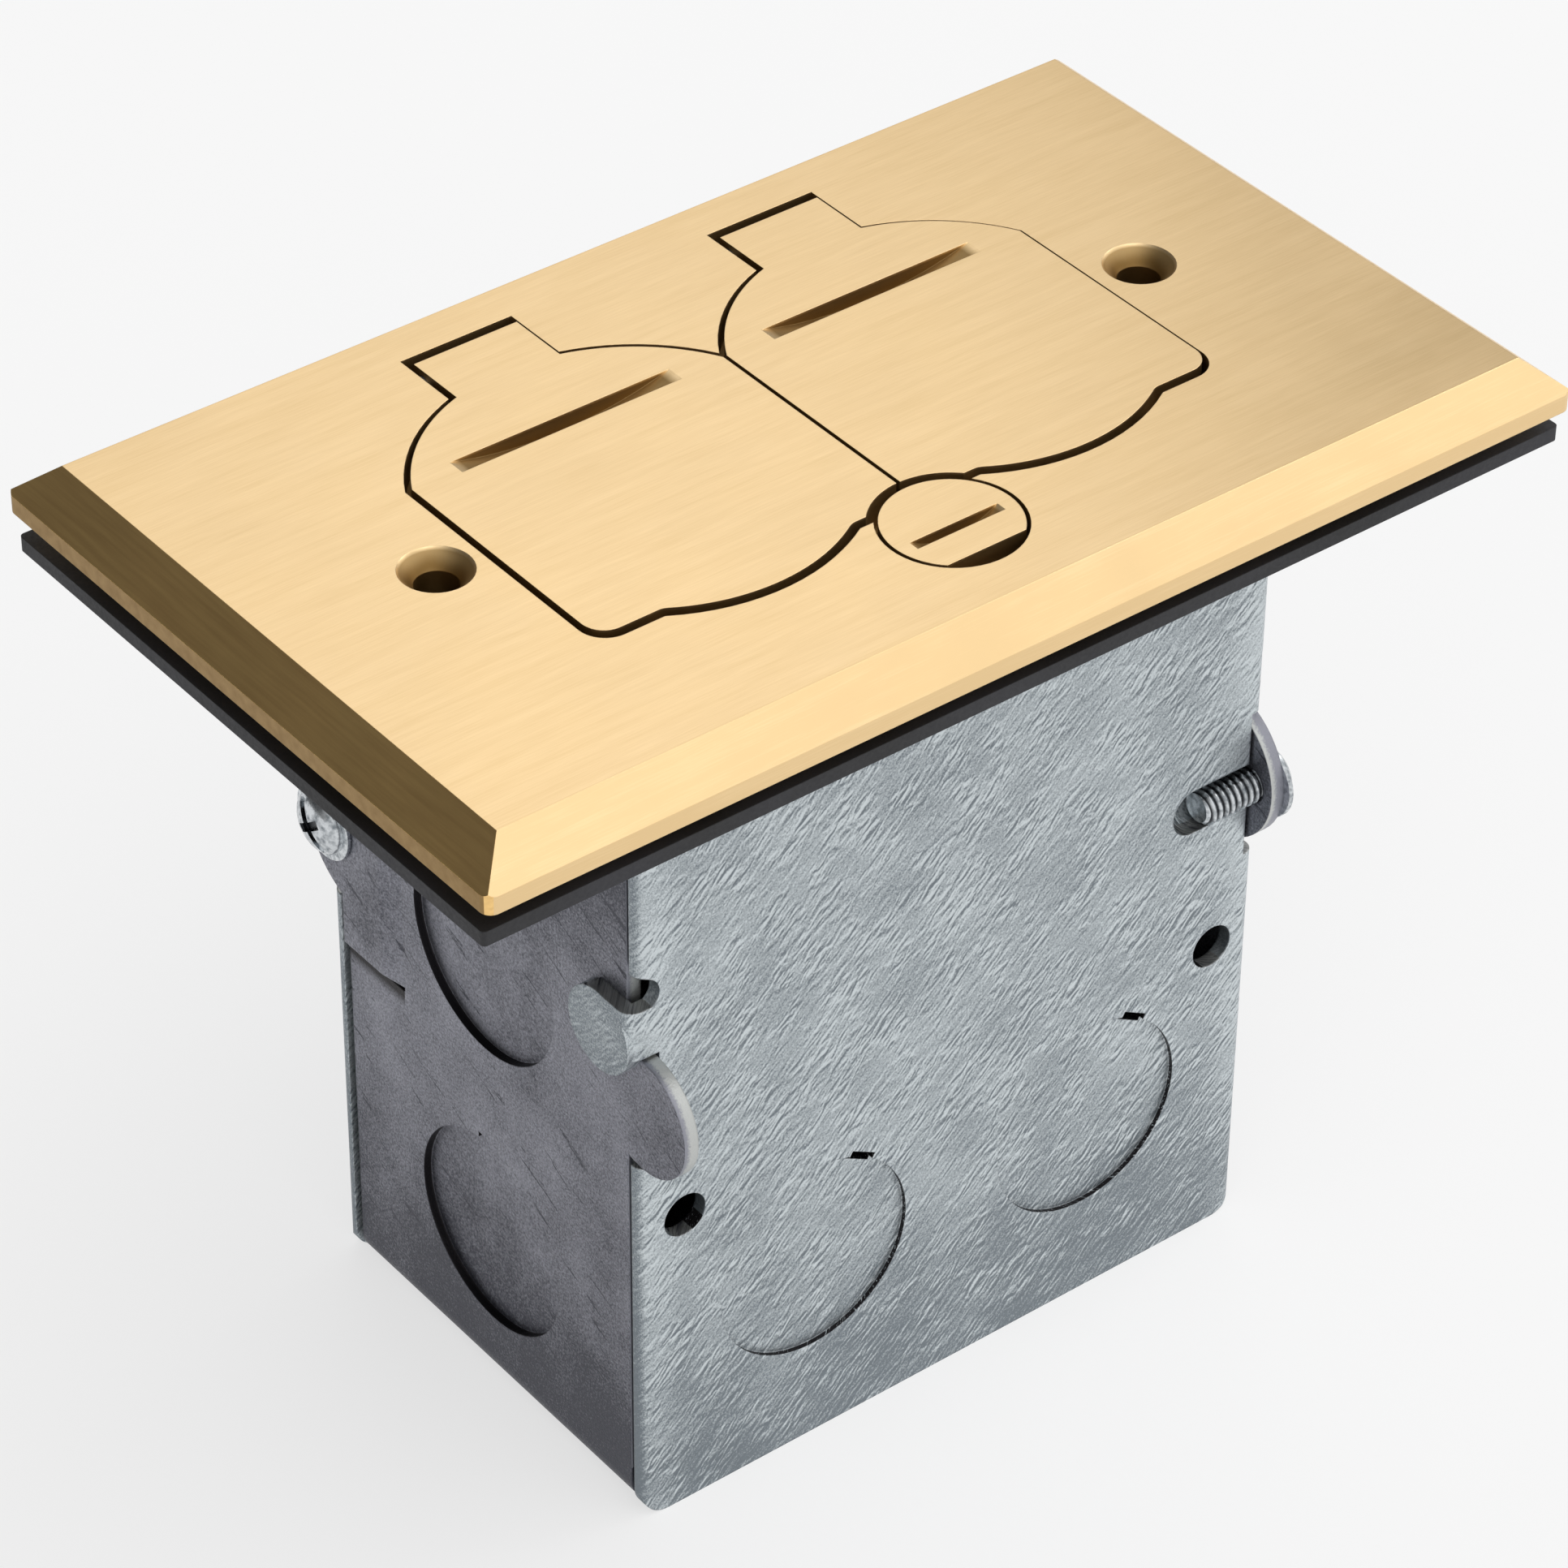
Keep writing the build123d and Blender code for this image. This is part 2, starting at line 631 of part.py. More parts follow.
# Near side of the box: a plate with a hook round one end of the body, a
# pressed pocket for the screw at the other, and a flange on the bottom
with BuildPart() as side_plate_near:
    with BuildSketch(Plane.XZ.offset(side_inner)):
        with Locations((0, box_depth / 2)):
            Rectangle(box_length, box_depth)
        fillet(vertices().group_by(Axis.Y)[0], side_corner_radius)
    extrude(amount=sheet)
    with BuildSketch():
        RectangleRounded(box_length, box_width, side_edge_radius)
    extrude(amount=box_depth, mode=Mode.INTERSECT)
    with BuildSketch(Plane.XY.offset(sheet)):
        with Locations((0, -side_inner + side_flange / 2)):
            Rectangle(2 * (end_inner - bottom_bend_radius), side_flange)
    extrude(amount=sheet)
    # Pocket: half round, closed at its inner end
    pocket_radius = gang_screw_radius + pocket_clearance
    pocket_end = ear_face - gang_screw_length - pocket_clearance
    pocket_face = ear_face - sheet - notch_clearance
    for radius, mode in ((pocket_radius + sheet, Mode.ADD), (pocket_radius, Mode.SUBTRACT)):
        with BuildSketch(Plane.XY.offset(screw_ear_height)):
            with Locations((pocket_end, -screw_y)):
                Circle(radius)
            with Locations(((pocket_end + pocket_face) / 2, -screw_y)):
                Rectangle(pocket_face - pocket_end, 2 * radius)
            with Locations((pocket_end, -screw_y - box_width)):
                Rectangle(box_length, 2 * box_width, mode=Mode.SUBTRACT)
        revolve(axis=Axis((0, -screw_y, screw_ear_height), (1, 0, 0)), mode=mode)
    with BuildSketch(Plane.XZ.offset(side_face)):
        with Locations((0, box_depth / 2)):
            Rectangle(box_length, box_depth)
    extrude(amount=box_width, mode=Mode.SUBTRACT)
    with BuildSketch(Plane.XZ.offset(side_inner)):
        # Clear of the screw ear, and of the pressed zone above it
        ear_room = 2 * (screw_ear_radius + notch_clearance)
        zone_top = offset_zone_top + notch_clearance
        zone_face = end_face - notch_clearance
        with Locations((pocket_face + box_length / 2, screw_ear_height)):
            Rectangle(box_length, ear_room)
        with Locations((zone_face + box_length / 2, (screw_ear_height + zone_top) / 2)):
            Rectangle(box_length, zone_top - screw_ear_height)
        # Clear of the plain ear at the other end, with a round relief above the hook
        notch_face = end_inner - notch_clearance
        plain_top = hook_ear_height + hook_ear_radius + notch_clearance
        plain_bottom = hook_ear_height - hook_ear_radius - notch_clearance
        with Locations((-notch_face - box_length / 2, (plain_top + plain_bottom) / 2)):
            Rectangle(box_length, plain_top - plain_bottom)
        with Locations((-end_face, relief_height)):
            Circle(relief_radius)
    extrude(amount=sheet, mode=Mode.SUBTRACT)
    # Hook: a root bent round the corner and a round tongue on the end
    hook_face = end_face + sheet
    with BuildSketch(Plane.XY.offset(plain_top)):
        with Locations((-hook_face / 2, -(side_face + side_inner - hook_reach) / 2)):
            RectangleRounded(hook_face, side_face - side_inner + hook_reach, sheet)
        with Locations((-hook_face / 2 + sheet / 2, -side_inner + hook_reach / 2)):
            Rectangle(hook_face - sheet, hook_reach, mode=Mode.SUBTRACT)
        with Locations((-hook_face / 2 + 2 * sheet, -side_face)):
            Rectangle(hook_face, 4 * sheet, mode=Mode.SUBTRACT)
    extrude(amount=hook_root_top - plain_top)
    with BuildSketch(Plane.YZ.offset(-hook_face)):
        with Locations((-side_inner + hook_reach - sheet, hook_height)):
            Circle(hook_radius)
    extrude(amount=sheet)
    # Knockouts, pry slots and nail holes
    side_knockouts = [(side * side_knockout_pitch / 2, side_knockout_height) for side in (-1, 1)]
    with BuildSketch(Plane.XZ.offset(side_inner)):
        with Locations(side_knockouts):
            Circle(knockout_radius)
    extrude(amount=-side_knockout_set)
    with BuildSketch(Plane.XZ.offset(side_face)):
        with Locations(side_knockouts):
            Circle(knockout_radius)
    extrude(amount=-side_knockout_set, mode=Mode.SUBTRACT)
    with BuildSketch(Plane.XZ.offset(side_face)):
        with Locations(side_knockouts):
            with PolarLocations(knockout_radius, 1, pry_slot_angle):
                Rectangle(pry_slot_width, pry_slot_length)
        with Locations((0, nail_hole_height)):
            with GridLocations(box_length - 2 * nail_hole_inset, 0, 2, 1):
                Circle(nail_hole_radius)
    extrude(amount=-2 * sheet, mode=Mode.SUBTRACT)
side_plate_near.part.label = "side_plate_near"

# Far side of the box: the near one turned half round
with BuildPart() as side_plate_far:
    add(side_plate_near.part.rotate(Axis.Z, 180))
side_plate_far.part.label = "side_plate_far"

# Screws of the sides: slotted pan heads outside the stepped ears
with BuildPart() as gang_screws:
    for turn in (0, 180):
        end_plane = Plane.YZ.rotated((0, 0, turn))
        with BuildSketch(end_plane.offset(ear_face)):
            with Locations((-screw_y, screw_ear_height)):
                Circle(gang_screw_radius)
        extrude(amount=-gang_screw_length)
        with BuildSketch(end_plane.offset(ear_face)):
            with Locations((-screw_y, screw_ear_height)):
                Circle(gang_head_radius)
        extrude(amount=gang_head_height)
        with BuildSketch(end_plane.offset(ear_face + gang_head_height)):
            with Locations((-screw_y, screw_ear_height)):
                Rectangle(3 * gang_head_radius, gang_slot_width)
        extrude(amount=-gang_slot_depth, mode=Mode.SUBTRACT)
gang_screws.part.label = "gang_screws"

# Receptacle face: moulded top with two outlet faces that rise into the plate
with BuildPart() as receptacle_face:
    with BuildSketch(Plane.XY.offset(face_base_bottom)):
        Rectangle(2 * strap_inner_half, face_base_width)
    extrude(amount=face_base_depth)
    with BuildSketch(Plane.XY.offset(gasket_top)):
        with GridLocations(outlet_pitch, 0, 2, 1):
            add(face_profile(0))
    extrude(amount=face_rise)
    chamfer(faces().sort_by(Axis.Z)[-2:].edges(), face_edge)
    with BuildSketch(Plane.XY.offset(face_top)):
        with GridLocations(outlet_pitch, 0, 2, 1):
            with Locations((blade_x, blade_pitch / 2)):
                Rectangle(hot_blade_length, blade_width)
            with Locations((blade_x, -blade_pitch / 2)):
                Rectangle(neutral_blade_length, blade_width)
        for outlet in (-outlet_x, outlet_x):
            with Locations((outlet + ground_offset, 0)):
                Circle(ground_radius)
            with Locations((outlet + ground_offset - ground_flat - ground_radius, 0)):
                Rectangle(2 * ground_radius, 2 * ground_radius, mode=Mode.SUBTRACT)
    extrude(amount=-(face_rise + face_base_depth), mode=Mode.SUBTRACT)
    with BuildSketch(Plane.XY.offset(gasket_top)):
        Circle(center_screw_radius + running_clearance)
        with Locations(*strap_rivet_places):
            Circle(strap_rivet_radius + running_clearance)
    extrude(amount=-face_base_depth, mode=Mode.SUBTRACT)
receptacle_face.part.label = "receptacle_face"

# Receptacle body: tub with a solid block at each end and open terminal sides
with BuildPart() as receptacle_body:
    with BuildSketch(Plane.XY.offset(body_bottom)):
        Rectangle(body_length, body_width)
    extrude(amount=body_depth)
    with BuildSketch(Plane.XY.offset(body_inside)):
        Rectangle(body_length - 2 * body_end_block, body_width - 2 * body_wall)
        with Locations((ground_offset, 0)):
            with GridLocations(outlet_pitch, 0, 2, 1):
                Rectangle(2 * well_half, 2 * well_half)
    extrude(amount=body_depth, mode=Mode.SUBTRACT)
    with BuildSketch(Plane.XY.offset(body_inside)):
        Rectangle(body_length - 2 * body_end_block, 2 * body_width)
    extrude(amount=contact_rise + contact_sheet, mode=Mode.SUBTRACT)
    with BuildSketch(Plane.XY.offset(body_bottom)):
        with Locations(*strap_rivet_places):
            Circle(strap_rivet_radius + running_clearance)
    extrude(amount=body_depth, mode=Mode.SUBTRACT)
receptacle_body.part.label = "receptacle_body"

# Strap: steel strip that runs under the receptacle and out to the cover screws
strap_z = box_depth + strap_thickness / 2
strap_low = body_bottom - strap_thickness / 2
strap_mid = strap_inner_half + strap_thickness / 2
with BuildPart() as mounting_strap:
    with BuildLine(Plane.XZ) as strap_line:
        FilletPolyline(
            (-strap_half_length, strap_z),
            (-strap_mid, strap_z),
            (-strap_mid, strap_low),
            (strap_mid, strap_low),
            (strap_mid, strap_z),
            (strap_half_length, strap_z),
            radius=strap_bend_radius + strap_thickness / 2,
        )
    with BuildSketch(Plane((-strap_half_length, 0, strap_z), x_dir=(0, 1, 0), z_dir=(1, 0, 0))):
        Rectangle(strap_width, strap_thickness)
    sweep()
    with BuildSketch(Plane.XY.offset(body_bottom)):
        with Locations((ground_tab_x, -ground_tab_reach / 2)):
            Rectangle(ground_tab_width, ground_tab_reach)
    extrude(amount=-strap_thickness)
    with BuildSketch(Plane.XY.offset(gasket_top)):
        with GridLocations(cover_screw_pitch, 0, 2, 1):
            SlotOverall(strap_slot_length, strap_slot_width)
    extrude(amount=-2 * strap_thickness, mode=Mode.SUBTRACT)
    with BuildSketch(Plane.XY.offset(body_bottom)):
        with Locations(*strap_rivet_places):
            Circle(strap_rivet_radius + running_clearance)
        with Locations((ground_tab_x, ground_screw_y)):
            Circle(terminal_radius + running_clearance)
    extrude(amount=-strap_thickness, mode=Mode.SUBTRACT)
mounting_strap.part.label = "mounting_strap"

# Rivets that hold face, body and strap together
with BuildPart() as strap_rivets:
    with BuildSketch(Plane.XY.offset(strap_bottom)):
        with Locations(*strap_rivet_places):
            Circle(strap_rivet_radius)
    extrude(amount=gasket_top - strap_bottom)
    with BuildSketch(Plane.XY.offset(strap_bottom)):
        with Locations(*strap_rivet_places):
            Circle(strap_rivet_head_radius)
    extrude(amount=-strap_rivet_head_height)
strap_rivets.part.label = "strap_rivets"

# Screw between the two lids' windows that holds the receptacle to the plate
with BuildPart() as center_screw:
    with BuildSketch(Plane.XY.offset(ledge - center_head_sink)):
        Circle(center_screw_radius)
    extrude(amount=-center_screw_length)
    with BuildSketch(Plane.XY.offset(ledge - center_head_sink)):
        Circle(center_head_radius)
    extrude(amount=center_screw_radius - center_head_radius, taper=sink_half_angle)
center_screw.part.label = "center_screw"


def contact_strip(blade_y, side):
    """One pole's contacts: web, outer strip and a pair of fingers at each blade."""
    outer = body_width / 2
    with BuildPart() as strip:
        with BuildSketch(Plane.XY.offset(body_inside)):
            with Locations((0, side * (outer + blade_y - finger_spread - contact_sheet) / 2)):
                Rectangle(contact_length, outer - blade_y + finger_spread + contact_sheet)
        extrude(amount=contact_sheet)
        with BuildSketch(Plane.XY.offset(body_inside)):
            with Locations((0, side * (outer - contact_sheet / 2))):
                Rectangle(contact_length, contact_sheet)
            for outlet in (-outlet_x, outlet_x):
                for finger in (-1, 1):
                    finger_y = blade_y + finger * (finger_spread + contact_sheet / 2)
                    with Locations((outlet + blade_x, side * finger_y)):
                        Rectangle(neutral_blade_length, contact_sheet)
        extrude(amount=contact_rise)
        with BuildSketch(Plane.XZ.offset(-side * outer)):
            with Locations((0, body_inside + terminal_height)):
                with GridLocations(2 * terminal_x, 0, 2, 1):
                    Circle(terminal_radius + running_clearance)
        extrude(amount=contact_sheet * side, mode=Mode.SUBTRACT)
    return strip.part


with BuildPart() as hot_contacts:
    add(contact_strip(blade_pitch / 2, 1))
hot_contacts.part.label = "hot_contacts"

with BuildPart() as neutral_contacts:
    add(contact_strip(blade_pitch / 2, -1))
neutral_contacts.part.label = "neutral_contacts"

# Ground contacts: a web along the middle with a folded sleeve under each ground hole
with BuildPart() as ground_contacts:
    with BuildSketch(Plane.XY.offset(body_inside)):
        with Locations((ground_offset, 0)):
            Rectangle(outlet_pitch, 2 * ground_radius)
    extrude(amount=contact_sheet)
    with BuildSketch(Plane.XY.offset(body_inside)):
        with Locations((ground_offset, 0)):
            with GridLocations(outlet_pitch, 0, 2, 1):
                Rectangle(2 * sleeve_half, 2 * sleeve_half)
    extrude(amount=contact_rise)
    with BuildSketch(Plane.XY.offset(body_inside + contact_sheet)):
        with Locations((ground_offset, 0)):
            with GridLocations(outlet_pitch, 0, 2, 1):
                Rectangle(2 * ground_radius, 2 * ground_radius)
    extrude(amount=contact_rise, mode=Mode.SUBTRACT)
ground_contacts.part.label = "ground_contacts"


def terminal_screws(side):
    """The two terminal screws on one long side of the receptacle."""
    with BuildPart() as pair:
        with BuildSketch(Plane.XZ.offset(-side * body_width / 2)):
            with Locations((0, body_inside + terminal_height)):
                with GridLocations(2 * terminal_x, 0, 2, 1):
                    Circle(terminal_head_radius)
        extrude(amount=-side * terminal_head_height)
        with BuildSketch(Plane.XZ.offset(-side * body_width / 2)):
            with Locations((0, body_inside + terminal_height)):
                with GridLocations(2 * terminal_x, 0, 2, 1):
                    Circle(terminal_radius)
        extrude(amount=side * (terminal_length - terminal_head_height))
    return pair.part


with BuildPart() as hot_terminal_screws:
    add(terminal_screws(1))
hot_terminal_screws.part.label = "hot_terminal_screws"

with BuildPart() as neutral_terminal_screws:
    add(terminal_screws(-1))
neutral_terminal_screws.part.label = "neutral_terminal_screws"

# Ground terminal screw, up through the strap's tab
with BuildPart() as ground_terminal_screw:
    with BuildSketch(Plane.XY.offset(strap_bottom)):
        with Locations((ground_tab_x, ground_screw_y)):
            Circle(terminal_head_radius)
    extrude(amount=-terminal_head_height)
    with BuildSketch(Plane.XY.offset(strap_bottom)):
        with Locations((ground_tab_x, ground_screw_y)):
            Circle(terminal_radius)
    extrude(amount=terminal_length)
ground_terminal_screw.part.label = "ground_terminal_screw"

pieces = [
    cover_plate,
    cover_gasket,
    center_screw,
    lid_left,
    lid_right,
    lid_seal_left,
    lid_seal_right,
    hinge_pins,
    hinge_keeper,
    keeper_rivets,
    lock_cam,
    lock_washer,
    lock_clip,
    box_body,
    side_plate_near,
    side_plate_far,
    gang_screws,
    receptacle_face,
    receptacle_body,
    mounting_strap,
    strap_rivets,
    hot_contacts,
    neutral_contacts,
    ground_contacts,
    hot_terminal_screws,
    neutral_terminal_screws,
    ground_terminal_screw,
]
os.makedirs("parts", exist_ok=True)
for piece in pieces:
    export_step(piece.part, f"parts/{piece.part.label}.step")
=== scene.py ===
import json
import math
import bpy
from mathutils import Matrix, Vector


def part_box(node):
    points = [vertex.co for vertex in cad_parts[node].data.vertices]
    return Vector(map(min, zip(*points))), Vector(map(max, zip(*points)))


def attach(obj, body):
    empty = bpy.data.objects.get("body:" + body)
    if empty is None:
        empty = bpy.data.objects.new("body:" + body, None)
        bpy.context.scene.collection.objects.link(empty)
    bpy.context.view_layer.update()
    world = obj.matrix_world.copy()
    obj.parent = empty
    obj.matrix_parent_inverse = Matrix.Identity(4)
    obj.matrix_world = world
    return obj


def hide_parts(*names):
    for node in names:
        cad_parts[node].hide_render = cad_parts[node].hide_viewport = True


bl_info = {
    "name": "Floor Socket Box",
    "version": (1, 0, 0),
    "blender": (4, 5, 0),
    "location": "3D View > Sidebar > Floor Box",
    "description": "Dresses a brass floor socket box in a steel back box and sets it on a studio floor",
    "category": "Object",
}

from functools import partial

import bmesh
import bpy
from mathutils import Matrix, Vector

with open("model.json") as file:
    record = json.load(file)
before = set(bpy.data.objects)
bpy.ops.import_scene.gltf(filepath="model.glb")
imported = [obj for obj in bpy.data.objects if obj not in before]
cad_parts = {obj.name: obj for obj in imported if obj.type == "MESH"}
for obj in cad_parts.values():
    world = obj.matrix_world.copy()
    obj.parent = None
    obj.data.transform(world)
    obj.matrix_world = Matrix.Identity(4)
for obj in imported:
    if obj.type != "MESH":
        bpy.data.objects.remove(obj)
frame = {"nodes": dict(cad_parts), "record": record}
nodes = frame["nodes"]

MM = 0.001
# Points closer than this are one
SAME_PLACE = 0.001 * MM
# A made piece keeps its edges sharper than this, in degrees
SHARP_EDGE = 35
# How squarely a face looks along an axis: the cosines of 66, 60 and 26 degrees
LEANING, TURNED, SQUARE_ON = 0.4, 0.5, 0.9

# Places read from the frame
plate_low, plate_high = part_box("cover_plate")
side_low, side_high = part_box("side_plate_near")
screws_low, screws_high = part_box("gang_screws")
mounts = {mount["name"]: mount for mount in frame["record"]["mounts"]}


# Settings a user would change


class FloorBoxFinishes(bpy.types.PropertyGroup):
    """Colours and grain of the object's own materials."""

    brass: bpy.props.StringProperty(
        name="Brass", description="Colour of the satin brass, sRGB hex", default="F9DAA8"
    )
    brass_dark: bpy.props.StringProperty(
        name="Brass, dark grain", description="Colour in the brush lines, sRGB hex", default="EFCF9B"
    )
    # Darker, browner brass: painted shade in the slots, gaps and countersinks and on the sawn ends
    milled_brass_shade: bpy.props.StringProperty(
        name="Milled brass",
        description="Colour of slots, gaps and countersinks, sRGB hex",
        default="B39667",
    )
    milled_brass_shade_dark: bpy.props.StringProperty(
        name="Milled brass, dark",
        description="Dark turning rings and tarnish, sRGB hex",
        default="86693D",
    )
    bevel_width: bpy.props.FloatProperty(
        name="Bevel width",
        description="Width of the plate's bevel, seen from above",
        default=3.9 * MM,
        unit="LENGTH",
        precision=5,
    )
    grain_length: bpy.props.FloatProperty(
        name="Grain length",
        description="Length of one brush line on the brass, in metres",
        default=5 * MM,
        unit="LENGTH",
        precision=5,
    )
    grain_width: bpy.props.FloatProperty(
        name="Grain width",
        description="Width of one brush line on the brass, in metres",
        default=0.15 * MM,
        unit="LENGTH",
        precision=5,
    )
    zinc_light: bpy.props.StringProperty(
        name="Zinc, light",
        description="Light streaks of the galvanised sides, sRGB hex",
        default="D3DADD",
    )
    zinc_dark: bpy.props.StringProperty(
        name="Zinc, dark",
        description="Dark streaks of the galvanised sides, sRGB hex",
        default="7F878D",
    )
    # The body's colours are painted darker than the sides' zinc: painted shade for its ends
    body_light: bpy.props.StringProperty(
        name="Body, light", description="Light grain of the box body, sRGB hex", default="9A9BA4"
    )
    body_dark: bpy.props.StringProperty(
        name="Body, dark", description="Dark grain of the box body, sRGB hex", default="4A4B53"
    )
    streak_length: bpy.props.FloatProperty(
        name="Streak length",
        description="Length of one streak in the zinc, in metres",
        default=2.1 * MM,
        unit="LENGTH",
        precision=5,
    )
    streak_width: bpy.props.FloatProperty(
        name="Streak width",
        description="Width of one streak in the zinc, in metres",
        default=0.58 * MM,
        unit="LENGTH",
        precision=5,
    )
    streak_tilt: bpy.props.FloatProperty(
        name="Streak tilt",
        description="Angle of the streaks above the long side",
        default=math.radians(45),
        subtype="ANGLE",
    )
    # More saturated brass of the end bevels: a painted reflection of the studio's dark side
    end_bevel_shaded: bpy.props.StringProperty(
        name="End bevel", description="Brass of the two end bevels, sRGB hex", default="FFD68E"
    )
    end_bevel_shaded_dark: bpy.props.StringProperty(
        name="End bevel lines",
        description="Darker lines along the end bevels, sRGB hex",
        default="EDC381",
    )
    # Bright cut edges of the sheet: a painted highlight
    cut_edge_highlight: bpy.props.StringProperty(
        name="Cut edge", description="Bright sheared edges of the sheet, sRGB hex", default="C6C8C6"
    )
    # Black of the knockouts' walls and the slit below the pressed zone: painted shade
    sheared: bpy.props.StringProperty(
        name="Sheared wall", description="Black walls of the knockouts, sRGB hex", default="2B292B"
    )
    rubber: bpy.props.StringProperty(
        name="Rubber", description="Colour of the gasket and the lid seals, sRGB hex", default="1E1E20"
    )
    ivory: bpy.props.StringProperty(
        name="Ivory", description="Colour of the receptacle's face, sRGB hex", default="E9DFC6"
    )


class FloorBoxScrews(bpy.types.PropertyGroup):
    """Sizes of the machine screws."""

    thread_pitch: bpy.props.FloatProperty(
        name="Thread pitch",
        description="Distance between two turns of the thread",
        default=0.8 * MM,
        unit="LENGTH",
        precision=5,
    )
    thread_depth: bpy.props.FloatProperty(
        name="Thread depth",
        description="Depth of the thread's groove",
        default=0.32 * MM,
        unit="LENGTH",
        precision=5,
    )
    flange_height: bpy.props.FloatProperty(
        name="Flange height",
        description="Height of the washer face under the head",
        default=0.55 * MM,
        unit="LENGTH",
        precision=5,
    )
    dome_share: bpy.props.FloatProperty(
        name="Dome share",
        description="Radius of the domed head above the flange, as a share of the flange's",
        default=0.8,
        subtype="FACTOR",
    )
    side_head_height: bpy.props.FloatProperty(
        name="Side screw head",
        description="Height of a side screw's head, with its flange",
        default=2.3 * MM,
        unit="LENGTH",
        precision=5,
    )
    side_shank_radius: bpy.props.FloatProperty(
        name="Side screw shank",
        description="Radius of a side screw's thread",
        default=2.05 * MM,
        unit="LENGTH",
        precision=5,
    )
    side_shank_length: bpy.props.FloatProperty(
        name="Side screw length",
        description="Length of a side screw under its head",
        default=8.3 * MM,
        unit="LENGTH",
        precision=5,
    )
    side_turn: bpy.props.FloatProperty(
        name="Side screw turn",
        description="How far a side screw's recess is turned",
        default=math.radians(35),
        subtype="ANGLE",
    )
    center_shank_radius: bpy.props.FloatProperty(
        name="Center screw shank",
        description="Radius of the shank of the screw between the lids",
        default=1.7 * MM,
        unit="LENGTH",
        precision=5,
    )
    slot_width: bpy.props.FloatProperty(
        name="Slot width",
        description="Width of the driver slot",
        default=0.95 * MM,
        unit="LENGTH",
        precision=5,
    )
    slot_depth: bpy.props.FloatProperty(
        name="Slot depth",
        description="Depth of the driver slot",
        default=0.9 * MM,
        unit="LENGTH",
        precision=5,
    )


class FloorBoxStudio(bpy.types.PropertyGroup):
    """Camera, floor and lamps."""

    camera_distance: bpy.props.FloatProperty(
        name="Camera distance", description="From the camera to its aim", default=0.6019, unit="LENGTH"
    )
    camera_azimuth: bpy.props.FloatProperty(
        name="Camera azimuth",
        description="Turn round the object",
        default=math.radians(38.24),
        subtype="ANGLE",
    )
    camera_elevation: bpy.props.FloatProperty(
        name="Camera elevation",
        description="Height above the floor",
        default=math.radians(37.77),
        subtype="ANGLE",
    )
    camera_roll: bpy.props.FloatProperty(
        name="Camera roll",
        description="Turn about the line of sight",
        default=math.radians(0.52),
        subtype="ANGLE",
    )
    camera_aim: bpy.props.FloatVectorProperty(
        name="Camera aim",
        description="Point that the camera looks at",
        default=(-0.00094, 0.00074, 0.0576),
        subtype="XYZ",
    )
    camera_lens: bpy.props.FloatProperty(
        name="Focal length", description="Lens, in millimetres", default=141.3, unit="CAMERA"
    )
    floor: bpy.props.StringProperty(
        name="Floor", description="Colour of the floor, sRGB hex", default="F6F6F6"
    )
    floor_side: bpy.props.FloatProperty(
        name="Floor side", description="Length of the square floor's side", default=12.0, unit="LENGTH"
    )
    backdrop_share: bpy.props.FloatProperty(
        name="Backdrop share",
        description="How much of the seen floor is plain white",
        default=0.65,
        subtype="FACTOR",
    )
    sky_bright: bpy.props.FloatProperty(
        name="Bright sky", description="Strength of the studio's light side", default=1.0
    )
    sky_dark: bpy.props.FloatProperty(
        name="Dark sky", description="Strength of the studio's shaded side", default=0.12
    )


# Helpers


def linear(hex_colour):
    """Turns an sRGB hex colour to linear red, green, blue and alpha."""
    values = [int(hex_colour[i : i + 2], 16) / 255 for i in (0, 2, 4)]
    return [v / 12.92 if v <= 0.04045 else ((v + 0.055) / 1.055) ** 2.4 for v in values] + [1.0]


def add_node(tree, kind, inputs=None, **settings):
    """Adds one shader node. An input is a value, a socket to link, or a node for its first output."""
    node = tree.nodes.new(kind)
    for name, value in settings.items():
        setattr(node, name, value)
    for name, value in (inputs or {}).items():
        if isinstance(value, bpy.types.Node):
            value = value.outputs[0]
        if isinstance(value, bpy.types.NodeSocket):
            tree.links.new(value, node.inputs[name])
        else:
            node.inputs[name].default_value = value
    return node


def start_material(name, colour, metallic, roughness):
    """A new material with its even values set.

    Returns it with add_node for its tree, its shader and the Object coordinates. The node that
    gives these also gives the surface's normal.
    """
    material = bpy.data.materials.new(name)
    material.use_nodes = True
    add = partial(add_node, material.node_tree)
    shader = material.node_tree.nodes["Principled BSDF"]
    shader.inputs["Base Color"].default_value = linear(colour)
    shader.inputs["Metallic"].default_value = metallic
    shader.inputs["Roughness"].default_value = roughness
    return material, add, shader, add("ShaderNodeTexCoord").outputs["Object"]


def wire(add, shader, colour, roughness, height, depth, edge):
    """Links a colour Mix, a roughness and a height: bumps of this depth, edges of this radius."""
    edges = add("ShaderNodeBevel", {"Radius": edge}, samples=6)
    bumps = add("ShaderNodeBump", {"Height": height, "Distance": depth, "Normal": edges})
    links = shader.id_data.links
    links.new(colour.outputs[2], shader.inputs["Base Color"])
    links.new(roughness.outputs[0], shader.inputs["Roughness"])
    links.new(bumps.outputs[0], shader.inputs["Normal"])


def measure(add, place):
    """Where a point is, what it faces, how far it is aside along X and Y, and how turned to X."""
    spot = add("ShaderNodeSeparateXYZ", {0: place})
    facing = add("ShaderNodeSeparateXYZ", {0: place.node.outputs["Normal"]})
    lengths = [
        add("ShaderNodeMath", {0: part}, operation="ABSOLUTE")
        for part in (spot.outputs["X"], spot.outputs["Y"], facing.outputs["X"])
    ]
    return spot, facing, *lengths


